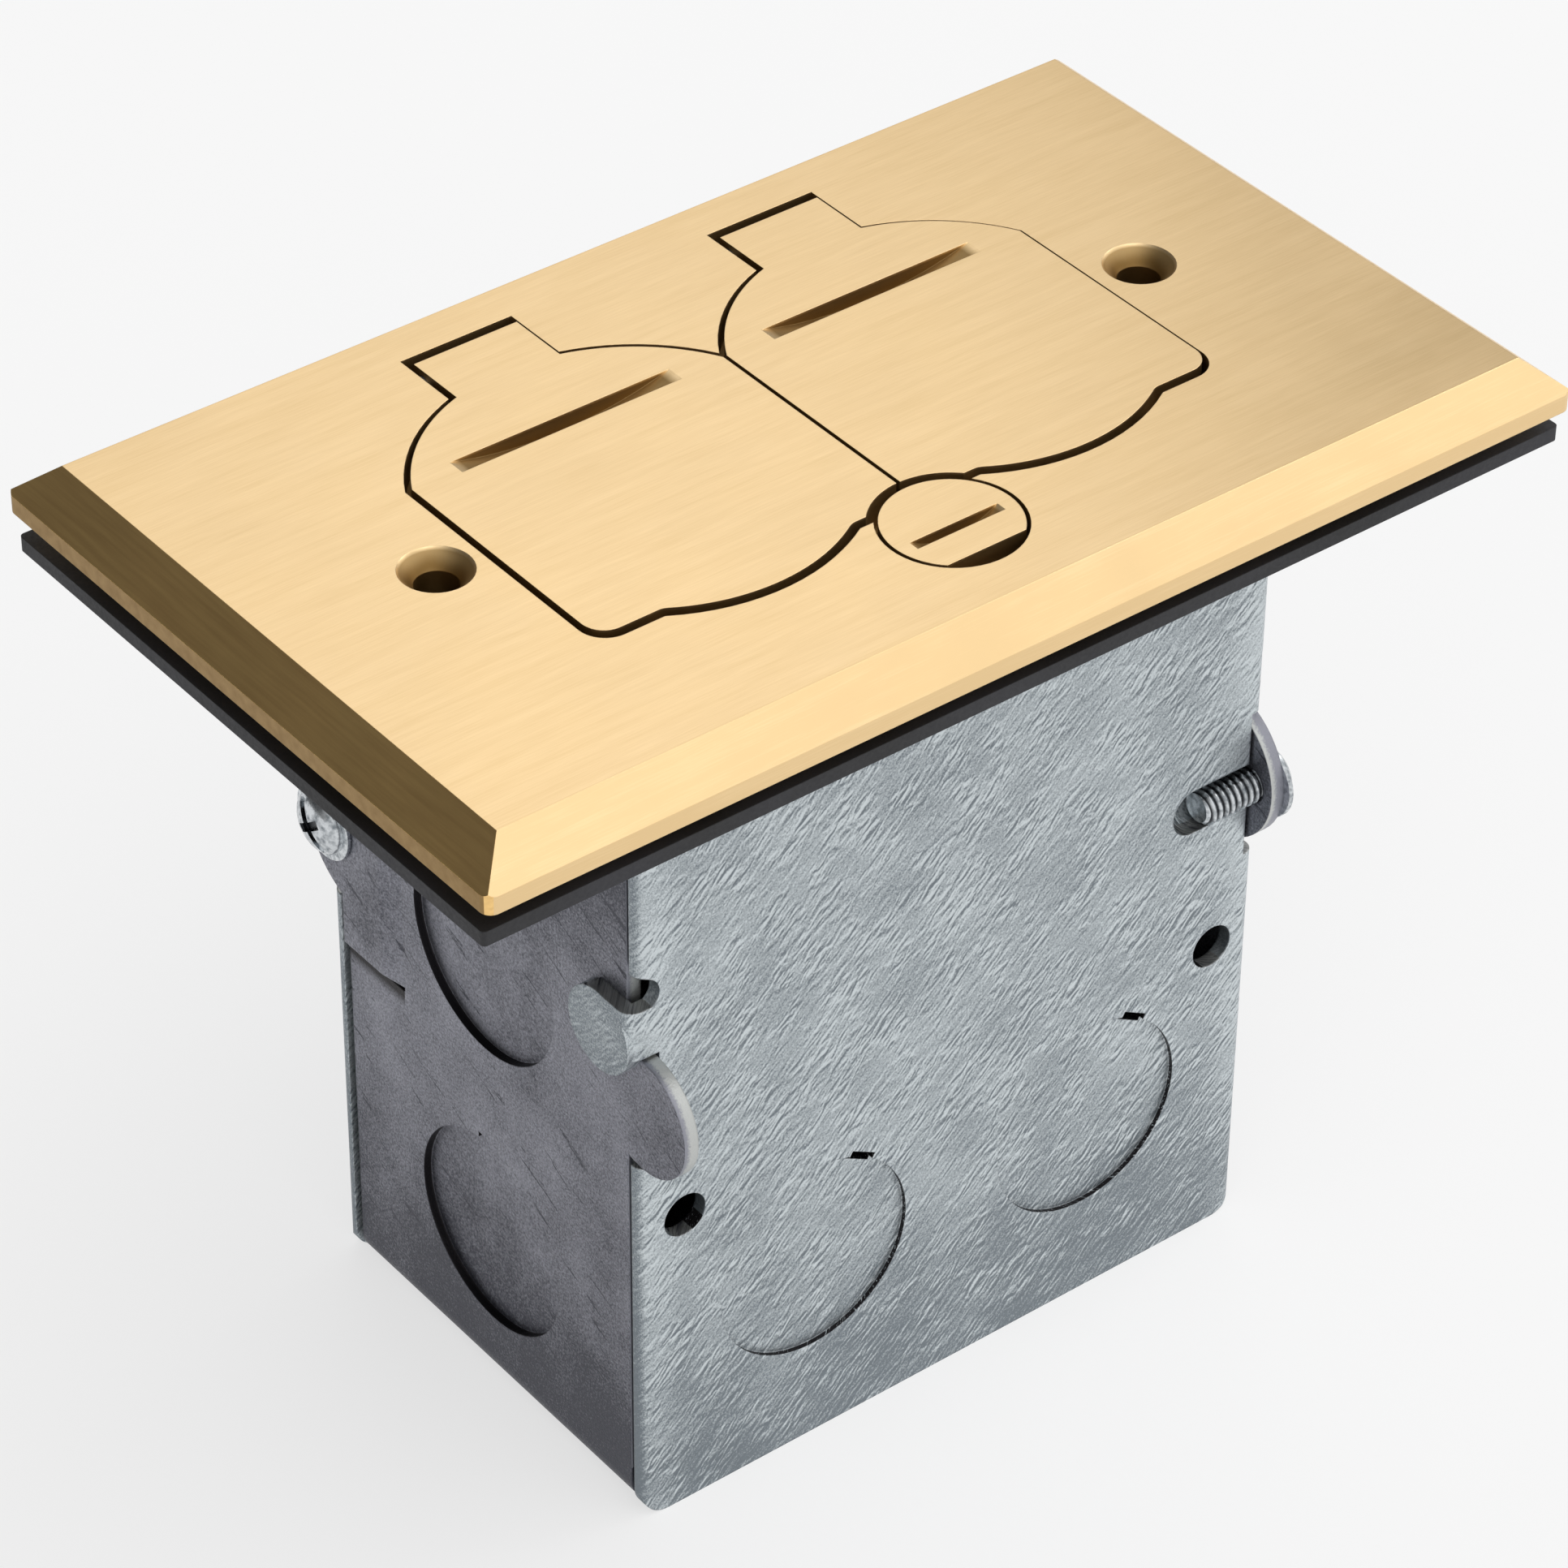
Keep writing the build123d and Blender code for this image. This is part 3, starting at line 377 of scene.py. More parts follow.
def two_tone(add, pattern, low, high, first, last):
    """Colours a pattern, from one colour at its low value to the other at its high one."""
    tone = add("ShaderNodeMapRange", {"Value": pattern, "From Min": low, "From Max": high})
    colours = {6: linear(first), 7: linear(last)}
    return add("ShaderNodeMix", {0: tone, **colours}, data_type="RGBA")


def dress(material, *names):
    """Gives this material to CAD nodes."""
    for name in names:
        for slot in nodes[name].material_slots:
            slot.material = material


def finish_piece(name, mesh, material, body, slot, *replaced):
    """Turns a bmesh into a piece that rides on a body and replaces CAD nodes."""
    bmesh.ops.remove_doubles(mesh, verts=mesh.verts, dist=SAME_PLACE)
    bmesh.ops.recalc_face_normals(mesh, faces=mesh.faces)
    data = bpy.data.meshes.new(name)
    mesh.to_mesh(data)
    mesh.free()
    data.materials.append(material)
    piece = bpy.data.objects.new(name, data)
    bpy.context.scene.collection.objects.link(piece)
    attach(piece, body)
    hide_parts(*replaced)
    return piece


def smooth_by_angle(piece, degrees):
    """Shades a piece smooth, apart from edges sharper than this angle."""
    data = piece.data
    mesh = bmesh.new()
    mesh.from_mesh(data)
    for face in mesh.faces:
        face.smooth = True
    for edge in mesh.edges:
        edge.smooth = len(edge.link_faces) == 2 and edge.calc_face_angle() < math.radians(degrees)
    mesh.to_mesh(data)
    mesh.free()


# Materials


# Solid brass, belt-sanded on top and along its bevels: a warm satin sheen with hair-fine straight
# lines, drawn at about twice their real width so that they show. Slots, gaps, countersinks and the
# sawn ends are milled and rougher, and painted darker and browner as painted shade, with turning
# rings in the countersinks. The long bevels carry a little painted shade, and the end bevels a more
# saturated brass that is a painted reflection.
def satin_brass(finish):
    material, add, shader, place = start_material(
        "satin_brass", finish.brass, metallic=1.0, roughness=0.3
    )
    cloud_size, sink_radius = 11 * MM, 4.5 * MM
    spot, _, aside_x, aside_y, turned = measure(add, place)
    # 1 on the sanded faces: the flat top, where the slots' walls start to fade 0.06 mm down, and
    # all that lies outside it
    flat_half = (plate_high - plate_low) / 2 - Vector((1, 1, 0)) * (finish.bevel_width + 0.2 * MM)
    past_x = add("ShaderNodeMath", {0: aside_x, 1: flat_half.x}, operation="GREATER_THAN")
    past_y = add("ShaderNodeMath", {0: aside_y, 1: flat_half.y}, operation="GREATER_THAN")
    rim = add("ShaderNodeMath", {0: past_x, 1: past_y}, operation="MAXIMUM")
    top = add(
        "ShaderNodeMapRange",
        {
            "Value": spot.outputs["Z"],
            "From Min": plate_high.z - 0.3 * MM,
            "From Max": plate_high.z - 0.06 * MM,
        },
    )
    sanded = add("ShaderNodeMath", {0: rim, 1: top}, operation="MAXIMUM")
    # The two ends are sawn and left so, and get the milled colour with its painted shade
    not_sawn = add("ShaderNodeMath", {0: turned, 1: SQUARE_ON}, operation="LESS_THAN")
    sanded = add("ShaderNodeMath", {0: sanded, 1: not_sawn}, operation="MULTIPLY")
    # Fine lines along the plate, over broader bands and soft clouds
    length, width = finish.grain_length, finish.grain_width
    fine = add(
        "ShaderNodeMapping",
        {"Vector": place, "Scale": (length, width, width)},
        vector_type="TEXTURE",
    )
    lines = add("ShaderNodeTexNoise", {"Vector": fine, "Scale": 1.0, "Detail": 2.0})
    broad = add(
        "ShaderNodeMapping",
        {"Vector": place, "Scale": (3 * length, 7 * width, 7 * width)},
        vector_type="TEXTURE",
    )
    bands = add("ShaderNodeTexNoise", {"Vector": broad, "Scale": 1.0, "Detail": 4.0})
    clouds = add("ShaderNodeTexNoise", {"Vector": place, "Scale": 1 / cloud_size, "Detail": 4.0})
    banded = add("ShaderNodeMath", {0: lines, 1: bands}, operation="ADD")
    mixed = add("ShaderNodeMath", {0: clouds, 1: 0.6, 2: banded}, operation="MULTIPLY_ADD")
    tone = add("ShaderNodeMapRange", {"Value": mixed, "From Min": 0.95, "From Max": 1.6})
    # Painted shade: the long bevels are painted a little darker than the flat top
    level = add("ShaderNodeMath", {0: turned, 1: LEANING}, operation="LESS_THAN")
    long_bevel = add("ShaderNodeMath", {0: past_y, 1: level}, operation="MULTIPLY")
    bevel_shaded_tone = add(
        "ShaderNodeMath",
        {0: long_bevel, 1: -0.5, 2: tone},
        operation="MULTIPLY_ADD",
        use_clamp=True,
    )
    bright = add(
        "ShaderNodeMix",
        {0: bevel_shaded_tone, 6: linear(finish.brass_dark), 7: linear(finish.brass)},
        data_type="RGBA",
    )
    # Rings that the countersink left round the two screw holes, one each 2.2 mm: the wave node
    # repeats 20 / (2 pi) times in one unit
    from_hole = add(
        "ShaderNodeMath",
        {0: aside_x, 1: mounts["cover_screw_holes"]["dims"]["spacing_x_mm"] / 2 * MM},
        operation="SUBTRACT",
    )
    round_hole = add("ShaderNodeCombineXYZ", {"X": from_hole, "Y": spot.outputs["Y"]})
    rings = add(
        "ShaderNodeTexWave",
        {"Vector": round_hole, "Scale": 1 / (7 * MM), "Distortion": 3.0, "Detail": 2.0},
        wave_type="RINGS",
        rings_direction="Z",
    )
    reach = add("ShaderNodeVectorMath", {0: round_hole}, operation="LENGTH")
    in_sink = add(
        "ShaderNodeMath", {0: reach.outputs["Value"], 1: sink_radius}, operation="LESS_THAN"
    )
    ringed = add("ShaderNodeMix", {0: in_sink, 2: bands, 3: rings.outputs["Fac"]})
    # The end bevels are sanded along their own length; their more saturated, browner brass is a
    # painted reflection of the studio's dark side
    across = add(
        "ShaderNodeMapping",
        {"Vector": place, "Scale": (3 * width, 2 * length, 3 * width)},
        vector_type="TEXTURE",
    )
    end_lines = add("ShaderNodeTexNoise", {"Vector": across, "Scale": 1.0, "Detail": 3.0})
    end_shaded_colour = two_tone(add, end_lines, 0.3, 0.7, finish.end_bevel_shaded_dark, finish.end_bevel_shaded)
    leaning = add("ShaderNodeMath", {0: turned, 1: LEANING}, operation="GREATER_THAN")
    at_end = add("ShaderNodeMath", {0: leaning, 1: past_x}, operation="MULTIPLY")
    brushed = add(
        "ShaderNodeMix",
        {0: at_end, 6: bright.outputs[2], 7: end_shaded_colour.outputs[2]},
        data_type="RGBA",
    )
    # Painted shade: the milled faces and the sawn ends take this darker, browner colour
    milled_shade = add(
        "ShaderNodeMix",
        {0: ringed, 6: linear(finish.milled_brass_shade_dark), 7: linear(finish.milled_brass_shade)},
        data_type="RGBA",
    )
    colour = add(
        "ShaderNodeMix", {0: sanded, 6: milled_shade.outputs[2], 7: brushed.outputs[2]}, data_type="RGBA"
    )
    clouded = add(
        "ShaderNodeMapRange",
        {"Value": clouds, "From Min": 0.3, "From Max": 0.7, "To Min": 0.28, "To Max": 0.34},
    )
    rough = add("ShaderNodeMapRange", {"Value": sanded, "To Min": 0.5, "To Max": clouded})
    wire(add, shader, colour, rough, lines, depth=0.004 * MM, edge=0.1 * MM)
    return material


# Hot-dip galvanised sheet, rolled after dipping: short raised streaks slant up the side, each with a
# painted highlight on its upper flank and painted shade below, over a salt-and-pepper grain. A
# painted highlight lightens the sheet towards the bends, which are smoother, and painted shade
# darkens the foot and the faces turned to the ends, such as the hook's tongue. The sheared walls of
# the knockouts are painted black as shade, with a few bright specks as painted glints.
def streaked_zinc(finish):
    material, add, shader, place = start_material(
        "streaked_zinc", finish.zinc_light, metallic=0.9, roughness=0.42
    )
    grain_size, drift_size, cloud_size = 0.22 * MM, 3.5 * MM, 7 * MM
    # The foot carries painted shade up to foot_height, the knockouts end below slugs_top, and the
    # painted highlight of the bends reaches over bend_reach
    foot_height, slugs_top, bend_reach = 30 * MM, 36 * MM, 6 * MM
    spot, facing, aside_x, aside_y, turned = measure(add, place)
    # The sheet's own plane: along it and up, carried on round the bends at its ends
    side_sign = add("ShaderNodeMath", {0: spot.outputs["X"]}, operation="SIGN")
    bent_back = add("ShaderNodeMath", {0: -side_low.y, 1: aside_y}, operation="SUBTRACT")
    along = add(
        "ShaderNodeMath",
        {0: side_sign, 1: bent_back, 2: spot.outputs["X"]},
        operation="MULTIPLY_ADD",
    )
    sheet = add("ShaderNodeCombineXYZ", {"X": along, "Z": spot.outputs["Z"]})
    slant = add(
        "ShaderNodeMapping",
        {
            "Vector": sheet,
            "Rotation": (0, -finish.streak_tilt, 0),
            "Scale": (finish.streak_length, finish.streak_length, finish.streak_width),
        },
        vector_type="TEXTURE",
    )
    streaks = add(
        "ShaderNodeTexNoise", {"Vector": slant, "Scale": 1.0, "Detail": 1.5, "Distortion": 0.8}
    )
    # Painted light: each streak is lighter on its upper flank and darker below, from its difference
    # with a copy set lower
    lower = add("ShaderNodeVectorMath", {0: slant, 1: (0.1, 0.0, 0.4)}, operation="ADD")
    shifted = add(
        "ShaderNodeTexNoise", {"Vector": lower, "Scale": 1.0, "Detail": 1.5, "Distortion": 0.8}
    )
    flank_light_and_shade = add("ShaderNodeMath", {0: streaks, 1: shifted}, operation="SUBTRACT")
    # Here the streaks are strong, there they nearly fade out, and they are faint on the tongue
    unturned = add(
        "ShaderNodeMapRange",
        {"Value": turned, "From Min": 0.5, "From Max": 0.95, "To Min": 1.0, "To Max": 0.3},
    )
    drift = add("ShaderNodeTexNoise", {"Vector": place, "Scale": 1 / drift_size, "Detail": 1.0})
    strength = add(
        "ShaderNodeMapRange",
        {"Value": drift, "From Min": 0.35, "From Max": 0.65, "To Min": 0.35, "To Max": 1.5},
    )
    raised = add("ShaderNodeMath", {0: strength, 1: unturned}, operation="MULTIPLY")
    streak_light_and_shade = add("ShaderNodeMath", {0: flank_light_and_shade, 1: raised}, operation="MULTIPLY")
    grain = add(
        "ShaderNodeTexNoise",
        {"Vector": sheet, "Scale": 1 / grain_size, "Detail": 4.0, "Roughness": 0.65},
    )
    clouds = add("ShaderNodeTexNoise", {"Vector": place, "Scale": 1 / cloud_size, "Detail": 3.0})
    grain_and_streak_light = add("ShaderNodeMath", {0: grain, 1: 0.95, 2: streak_light_and_shade}, operation="MULTIPLY_ADD")
    clouded = add("ShaderNodeMath", {0: clouds, 1: 0.3, 2: grain_and_streak_light}, operation="MULTIPLY_ADD")
    # Painted highlight: the sheet is painted lighter towards the bends at its ends
    bend_highlight = add(
        "ShaderNodeMapRange",
        {
            "Value": aside_x,
            "From Min": side_high.x - bend_reach,
            "From Max": side_high.x - 1 * MM,
            "To Min": 0.0,
            "To Max": 0.1,
        },
        interpolation_type="SMOOTHSTEP",
    )
    with_bend_highlight = add("ShaderNodeMath", {0: clouded, 1: bend_highlight}, operation="ADD")
    # Painted shade: the sheet is painted darker towards the foot
    foot_shade = add(
        "ShaderNodeMapRange",
        {
            "Value": spot.outputs["Z"],
            "From Min": 0.0,
            "From Max": foot_height,
            "To Min": 0.17,
            "To Max": 0.0,
        },
        interpolation_type="SMOOTHSTEP",
    )
    # Painted shade: faces turned to the ends, such as the hook's tongue, are painted darker
    end_facing_shade = add(
        "ShaderNodeMapRange",
        {"Value": turned, "From Min": 0.6, "From Max": 0.95, "To Min": 0.0, "To Max": 0.24},
    )
    painted_shade = add("ShaderNodeMath", {0: foot_shade, 1: end_facing_shade}, operation="ADD")
    pattern = add("ShaderNodeMath", {0: with_bend_highlight, 1: painted_shade}, operation="SUBTRACT")
    skin = two_tone(add, pattern, 0.42, 0.82, finish.zinc_dark, finish.zinc_light)
    # Cut edges face neither out nor round a bend: a painted highlight, but painted black as shade in
    # the sheared rings
    outward = add("ShaderNodeMath", {0: facing.outputs["Y"]}, operation="ABSOLUTE")
    most = add("ShaderNodeMath", {0: outward, 1: turned}, operation="MAXIMUM")
    flat_cut = add("ShaderNodeMath", {0: outward, 1: TURNED}, operation="LESS_THAN")
    low_down = add("ShaderNodeMath", {0: spot.outputs["Z"], 1: slugs_top}, operation="LESS_THAN")
    inboard = add(
        "ShaderNodeMath", {0: aside_x, 1: side_high.x - bend_reach}, operation="LESS_THAN"
    )
    round_slug = add("ShaderNodeMath", {0: low_down, 1: inboard}, operation="MULTIPLY")
    sheared = add("ShaderNodeMath", {0: flat_cut, 1: round_slug}, operation="MULTIPLY")
    # Painted shade on the knockouts' walls, with bright specks as painted glints
    wall_shade_and_glints = two_tone(add, grain, 0.58, 0.64, finish.sheared, finish.zinc_light)
    cut = add("ShaderNodeMath", {0: most, 1: TURNED}, operation="LESS_THAN")
    cut_highlight = two_tone(add, pattern, 0.42, 0.82, finish.body_dark, finish.cut_edge_highlight)
    edged = add("ShaderNodeMix", {0: cut, 6: skin.outputs[2], 7: cut_highlight.outputs[2]}, data_type="RGBA")
    colour = add(
        "ShaderNodeMix", {0: sheared, 6: edged.outputs[2], 7: wall_shade_and_glints.outputs[2]}, data_type="RGBA"
    )
    rough = add(
        "ShaderNodeMapRange",
        {"Value": grain_and_streak_light, "From Min": 0.3, "From Max": 0.65, "To Min": 0.55, "To Max": 0.38},
    )
    ridges = add("ShaderNodeMath", {0: streaks, 1: raised}, operation="MULTIPLY")
    relief = add("ShaderNodeMath", {0: grain, 1: 0.4, 2: ridges}, operation="MULTIPLY_ADD")
    wire(add, shader, colour, rough, relief, depth=0.12 * MM, edge=0.3 * MM)
    return material


# Galvanised sheet of the body: bluer than the sides and painted darker as shade, with a fine even
# grain, faint spangle and a few thin dark drawing scratches that run down towards the sides. It is
# painted darker as shade towards the foot and the top. The ears' sheared rims have a painted
# highlight on their inner half and are dull on their outer half. The walls of the knockouts are
# painted black as shade, and a black band painted below the pressed zone is the shadow of a slit
# that the shape lacks.
def fine_zinc(finish):
    material, add, shader, place = start_material(
        "fine_zinc", finish.body_light, metallic=0.9, roughness=0.45
    )
    grain_size, spangle_size, cloud_size = 0.25 * MM, 2.2 * MM, 12 * MM
    scratch_length, scratch_width, scratch_tilt = 7 * MM, 0.6 * MM, math.radians(25)
    # From the foot and from the top the painted shade reaches the first of these heights, the bottom's
    # bends end below bend_top, and edges farther from the middle than ears_start get a painted
    # highlight
    shade_height, bend_top, ears_start = 30 * MM, 5 * MM, 12 * MM
    # The painted shadow of the slit below the pressed zone: its heights, and where it starts beside the
    # middle
    cut_low, cut_deep, cut_high, cut_start = 39.2 * MM, 40.6 * MM, 41.8 * MM, 13.6 * MM
    spot, _, aside_x, aside_y, turned = measure(add, place)
    slant = add(
        "ShaderNodeMapping",
        {
            "Vector": place,
            "Rotation": (scratch_tilt, 0, 0),
            "Scale": (scratch_length, scratch_length, scratch_width),
        },
        vector_type="TEXTURE",
    )
    scratches = add(
        "ShaderNodeTexNoise", {"Vector": slant, "Scale": 1.0, "Detail": 3.0, "Distortion": 0.9}
    )
    scored = add(
        "ShaderNodeMapRange",
        {"Value": scratches, "From Min": 0.3, "From Max": 0.36, "To Min": 0.3, "To Max": 0.0},
    )
    grain = add(
        "ShaderNodeTexNoise",
        {"Vector": place, "Scale": 1 / grain_size, "Detail": 4.0, "Roughness": 0.65},
    )
    spangle = add(
        "ShaderNodeTexVoronoi", {"Vector": place, "Scale": 1 / spangle_size, "Randomness": 1.0}
    )
    spangles = add("ShaderNodeSeparateColor", {0: spangle.outputs["Color"]})
    clouds = add("ShaderNodeTexNoise", {"Vector": place, "Scale": 1 / cloud_size, "Detail": 4.0})
    clouded = add("ShaderNodeMath", {0: clouds, 1: 0.5, 2: grain}, operation="MULTIPLY_ADD")
    spangled = add("ShaderNodeMath", {0: spangles, 1: 0.06, 2: clouded}, operation="MULTIPLY_ADD")
    # Painted shade: the body is painted darker towards the foot and towards the top under the gasket
    foot_shade = add(
        "ShaderNodeMapRange",
        {
            "Value": spot.outputs["Z"],
            "From Min": 0.0,
            "From Max": shade_height,
            "To Min": 0.3,
            "To Max": 0.0,
        },
        interpolation_type="SMOOTHSTEP",
    )
    neck_shade = add(
        "ShaderNodeMapRange",
        {
            "Value": spot.outputs["Z"],
            "From Min": side_high.z - shade_height,
            "From Max": side_high.z,
            "To Min": 0.0,
            "To Max": 0.38,
        },
        interpolation_type="SMOOTHSTEP",
    )
    top_and_foot_shade = add("ShaderNodeMath", {0: foot_shade, 1: neck_shade}, operation="ADD")
    shade_and_scratches = add("ShaderNodeMath", {0: top_and_foot_shade, 1: scored}, operation="ADD")
    grain_shade_and_scratches = add("ShaderNodeMath", {0: spangled, 1: shade_and_scratches}, operation="SUBTRACT")
    skin = two_tone(add, grain_shade_and_scratches, 0.53, 0.98, finish.body_dark, finish.body_light)
    # Cut edges: a painted highlight round the ears, painted black as shade in the sheared rings near
    # the middle
    cut = add("ShaderNodeMath", {0: turned, 1: TURNED}, operation="LESS_THAN")
    above_floor = add(
        "ShaderNodeMath", {0: spot.outputs["Z"], 1: bend_top}, operation="GREATER_THAN"
    )
    edge = add("ShaderNodeMath", {0: cut, 1: above_floor}, operation="MULTIPLY")
    at_ears = add("ShaderNodeMath", {0: aside_y, 1: ears_start}, operation="GREATER_THAN")
    # Across a sheared rim: a painted highlight inboard, and dull beyond a ragged line, as a fracture
    # zone and as painted shade
    ragged = add("ShaderNodeMath", {0: grain, 1: 1.2 * MM, 2: aside_x}, operation="MULTIPLY_ADD")
    shine = add(
        "ShaderNodeMapRange",
        {
            "Value": ragged,
            "From Min": side_high.x - 0.4 * MM,
            "From Max": side_high.x,
            "To Min": 1.0,
            "To Max": 0.0,
        },
    )
    cut_highlight = add(
        "ShaderNodeMix",
        {0: shine, 6: linear(finish.body_light), 7: linear(finish.cut_edge_highlight)},
        data_type="RGBA",
    )
    edge_colour = add(
        "ShaderNodeMix",
        {0: at_ears, 6: linear(finish.sheared), 7: cut_highlight.outputs[2]},
        data_type="RGBA",
    )
    edged = add(
        "ShaderNodeMix", {0: edge, 6: skin.outputs[2], 7: edge_colour.outputs[2]}, data_type="RGBA"
    )
    # Painted shadow of the slit below the pressed zone, which the shape lacks, on the half of each end
    # that carries it
    twist = add(
        "ShaderNodeMath", {0: spot.outputs["X"], 1: spot.outputs["Y"]}, operation="MULTIPLY"
    )
    zone_side = add("ShaderNodeMath", {0: twist, 1: 0.0}, operation="LESS_THAN")
    beside = add("ShaderNodeMath", {0: aside_y, 1: cut_start}, operation="GREATER_THAN")
    below_zone = add(
        "ShaderNodeMapRange",
        {"Value": spot.outputs["Z"], "From Min": cut_low, "From Max": cut_deep},
    )
    under_zone = add("ShaderNodeMath", {0: spot.outputs["Z"], 1: cut_high}, operation="LESS_THAN")
    slit_shadow = below_zone
    for part in (zone_side, beside, under_zone):
        slit_shadow = add("ShaderNodeMath", {0: slit_shadow, 1: part}, operation="MULTIPLY")
    colour = add(
        "ShaderNodeMix",
        {0: slit_shadow, 6: edged.outputs[2], 7: linear(finish.sheared)},
        data_type="RGBA",
    )
    rough = add(
        "ShaderNodeMapRange",
        {"Value": grain, "From Min": 0.3, "From Max": 0.7, "To Min": 0.52, "To Max": 0.4},
    )
    wire(add, shader, colour, rough, grain_shade_and_scratches, depth=0.05 * MM, edge=0.3 * MM)
    return material


# Electroplated zinc on a rolled screw: bright and slightly hazy, so that its edges sparkle, and
# painted dark as shade in the grooves of the thread and in the driver's recess.
def bright_zinc(screws, axis_y, axis_z):
    clear, hazy, groove_shade = "D3D7DA", "80868B", "3A3C3F"
    shank_radius, thread_depth = screws.side_shank_radius, screws.thread_depth
    haze_size, recess_depth = 0.7 * MM, 0.5 * MM
    material, add, shader, place = start_material("bright_zinc", clear, metallic=1.0, roughness=0.2)
    haze = add("ShaderNodeTexNoise", {"Vector": place, "Scale": 1 / haze_size, "Detail": 3.0})
    shiny = two_tone(add, haze, 0.4, 0.7, clear, hazy)
    # Grooves are told from crests by their distance from the screw's axis
    spot = add("ShaderNodeSeparateXYZ", {0: place})
    aside = add("ShaderNodeMath", {0: spot.outputs["Y"]}, operation="ABSOLUTE")
    beside = add("ShaderNodeCombineXYZ", {"Y": aside, "Z": spot.outputs["Z"]})
    from_axis = add(
        "ShaderNodeVectorMath", {0: beside, 1: (0, axis_y, axis_z)}, operation="DISTANCE"
    )
    crest = add(
        "ShaderNodeMapRange",
        {
            "Value": from_axis.outputs["Value"],
            "From Min": shank_radius - 0.9 * thread_depth,
            "From Max": shank_radius - 0.3 * thread_depth,
        },
    )
    inboard = add("ShaderNodeMath", {0: spot.outputs["X"]}, operation="ABSOLUTE")
    on_head = add("ShaderNodeMath", {0: inboard, 1: side_high.x}, operation="GREATER_THAN")
    on_core = add(
        "ShaderNodeMath",
        {0: from_axis.outputs["Value"], 1: shank_radius - 1.2 * thread_depth},
        operation="LESS_THAN",
    )
    outside_grooves = crest
    for part in (on_head, on_core):
        outside_grooves = add("ShaderNodeMath", {0: outside_grooves, 1: part}, operation="MAXIMUM")
    # The recess lies under the top of the head, near the axis
    sunk = add(
        "ShaderNodeMath", {0: inboard, 1: screws_high.x - recess_depth}, operation="LESS_THAN"
    )
    near_axis = add(
        "ShaderNodeMath",
        {0: from_axis.outputs["Value"], 1: 0.9 * shank_radius},
        operation="LESS_THAN",
    )
    recess = on_head
    for part in (sunk, near_axis):
        recess = add("ShaderNodeMath", {0: recess, 1: part}, operation="MULTIPLY")
    # Painted shade: the grooves of the thread and the driver's recess are painted dark
    unshaded = add("ShaderNodeMath", {0: outside_grooves, 1: recess}, operation="SUBTRACT")
    colour = add(
        "ShaderNodeMix", {0: unshaded, 6: linear(groove_shade), 7: shiny.outputs[2]}, data_type="RGBA"
    )
    rough = add(
        "ShaderNodeMapRange",
        {"Value": haze, "From Min": 0.3, "From Max": 0.7, "To Min": 0.14, "To Max": 0.3},
    )
    wire(add, shader, colour, rough, haze, depth=0.02 * MM, edge=0.08 * MM)
    return material


# Stamped or drawn metal: a dull sheen with fine, uneven mottling.
def stamped_metal(name, colour, shade, roughness):
    material, add, shader, place = start_material(name, colour, metallic=1.0, roughness=roughness)
    mottle_size = 1.1 * MM
    mottle = add("ShaderNodeTexNoise", {"Vector": place, "Scale": 1 / mottle_size, "Detail": 4.0})
    mixed = two_tone(add, mottle, 0.35, 0.7, colour, shade)
    rough = add(
        "ShaderNodeMapRange",
        {
            "Value": mottle,
            "From Min": 0.3,
            "From Max": 0.7,
            "To Min": roughness - 0.06,
            "To Max": roughness + 0.08,
        },
    )
    wire(add, shader, mixed, rough, mottle, depth=0.015 * MM, edge=0.12 * MM)
    return material


# Moulded rubber or plastic: an even colour with a fine matt grit.
def moulded(name, colour, shade, roughness, grit):
    material, add, shader, place = start_material(name, colour, metallic=0.0, roughness=roughness)
    blush_size = 16 * MM
    pores = add("ShaderNodeTexNoise", {"Vector": place, "Scale": 1 / grit, "Detail": 3.0})
    blush = add("ShaderNodeTexNoise", {"Vector": place, "Scale": 1 / blush_size, "Detail": 2.0})
    mixed = two_tone(add, blush, 0.35, 0.7, colour, shade)
    rough = add(
        "ShaderNodeMapRange",
        {
            "Value": pores,
            "From Min": 0.3,
            "From Max": 0.7,
            "To Min": roughness - 0.06,
            "To Max": roughness + 0.06,
        },
    )
    wire(add, shader, mixed, rough, pores, depth=0.02 * MM, edge=0.15 * MM)
    return material


# Matt painted floor: even and dull, so that only the object's shadow shows on it, softened because
# the eye and the reflections see most of it as a plain white backdrop.
def pale_floor(studio):
    material, add, shader, _ = start_material(
        "pale_floor", studio.floor, metallic=0.0, roughness=0.9
    )
    shader.inputs["Specular IOR Level"].default_value = 0.1
    rays = add("ShaderNodeLightPath")
    mirrored = add(
        "ShaderNodeMath",
        {0: rays.outputs["Is Glossy Ray"], 1: rays.outputs["Is Transmission Ray"]},
        operation="MAXIMUM",
    )
    seen = add(
        "ShaderNodeMath", {0: rays.outputs["Is Camera Ray"], 1: mirrored}, operation="MAXIMUM"
    )
    share = add("ShaderNodeMath", {0: seen, 1: studio.backdrop_share}, operation="MULTIPLY")
    white = add("ShaderNodeEmission", {"Color": linear("FFFFFF"), "Strength": 1.0})
    mixed = add("ShaderNodeMixShader", {0: share, 1: shader, 2: white})
    tree = material.node_tree
    tree.links.new(mixed.outputs[0], tree.nodes["Material Output"].inputs["Surface"])
    return material


# Shapes


def join(mesh, part):
    """Adds one bmesh to another and frees it."""
    data = bpy.data.meshes.new("part")
    part.to_mesh(data)
    part.free()
    mesh.from_mesh(data)
    bpy.data.meshes.remove(data)


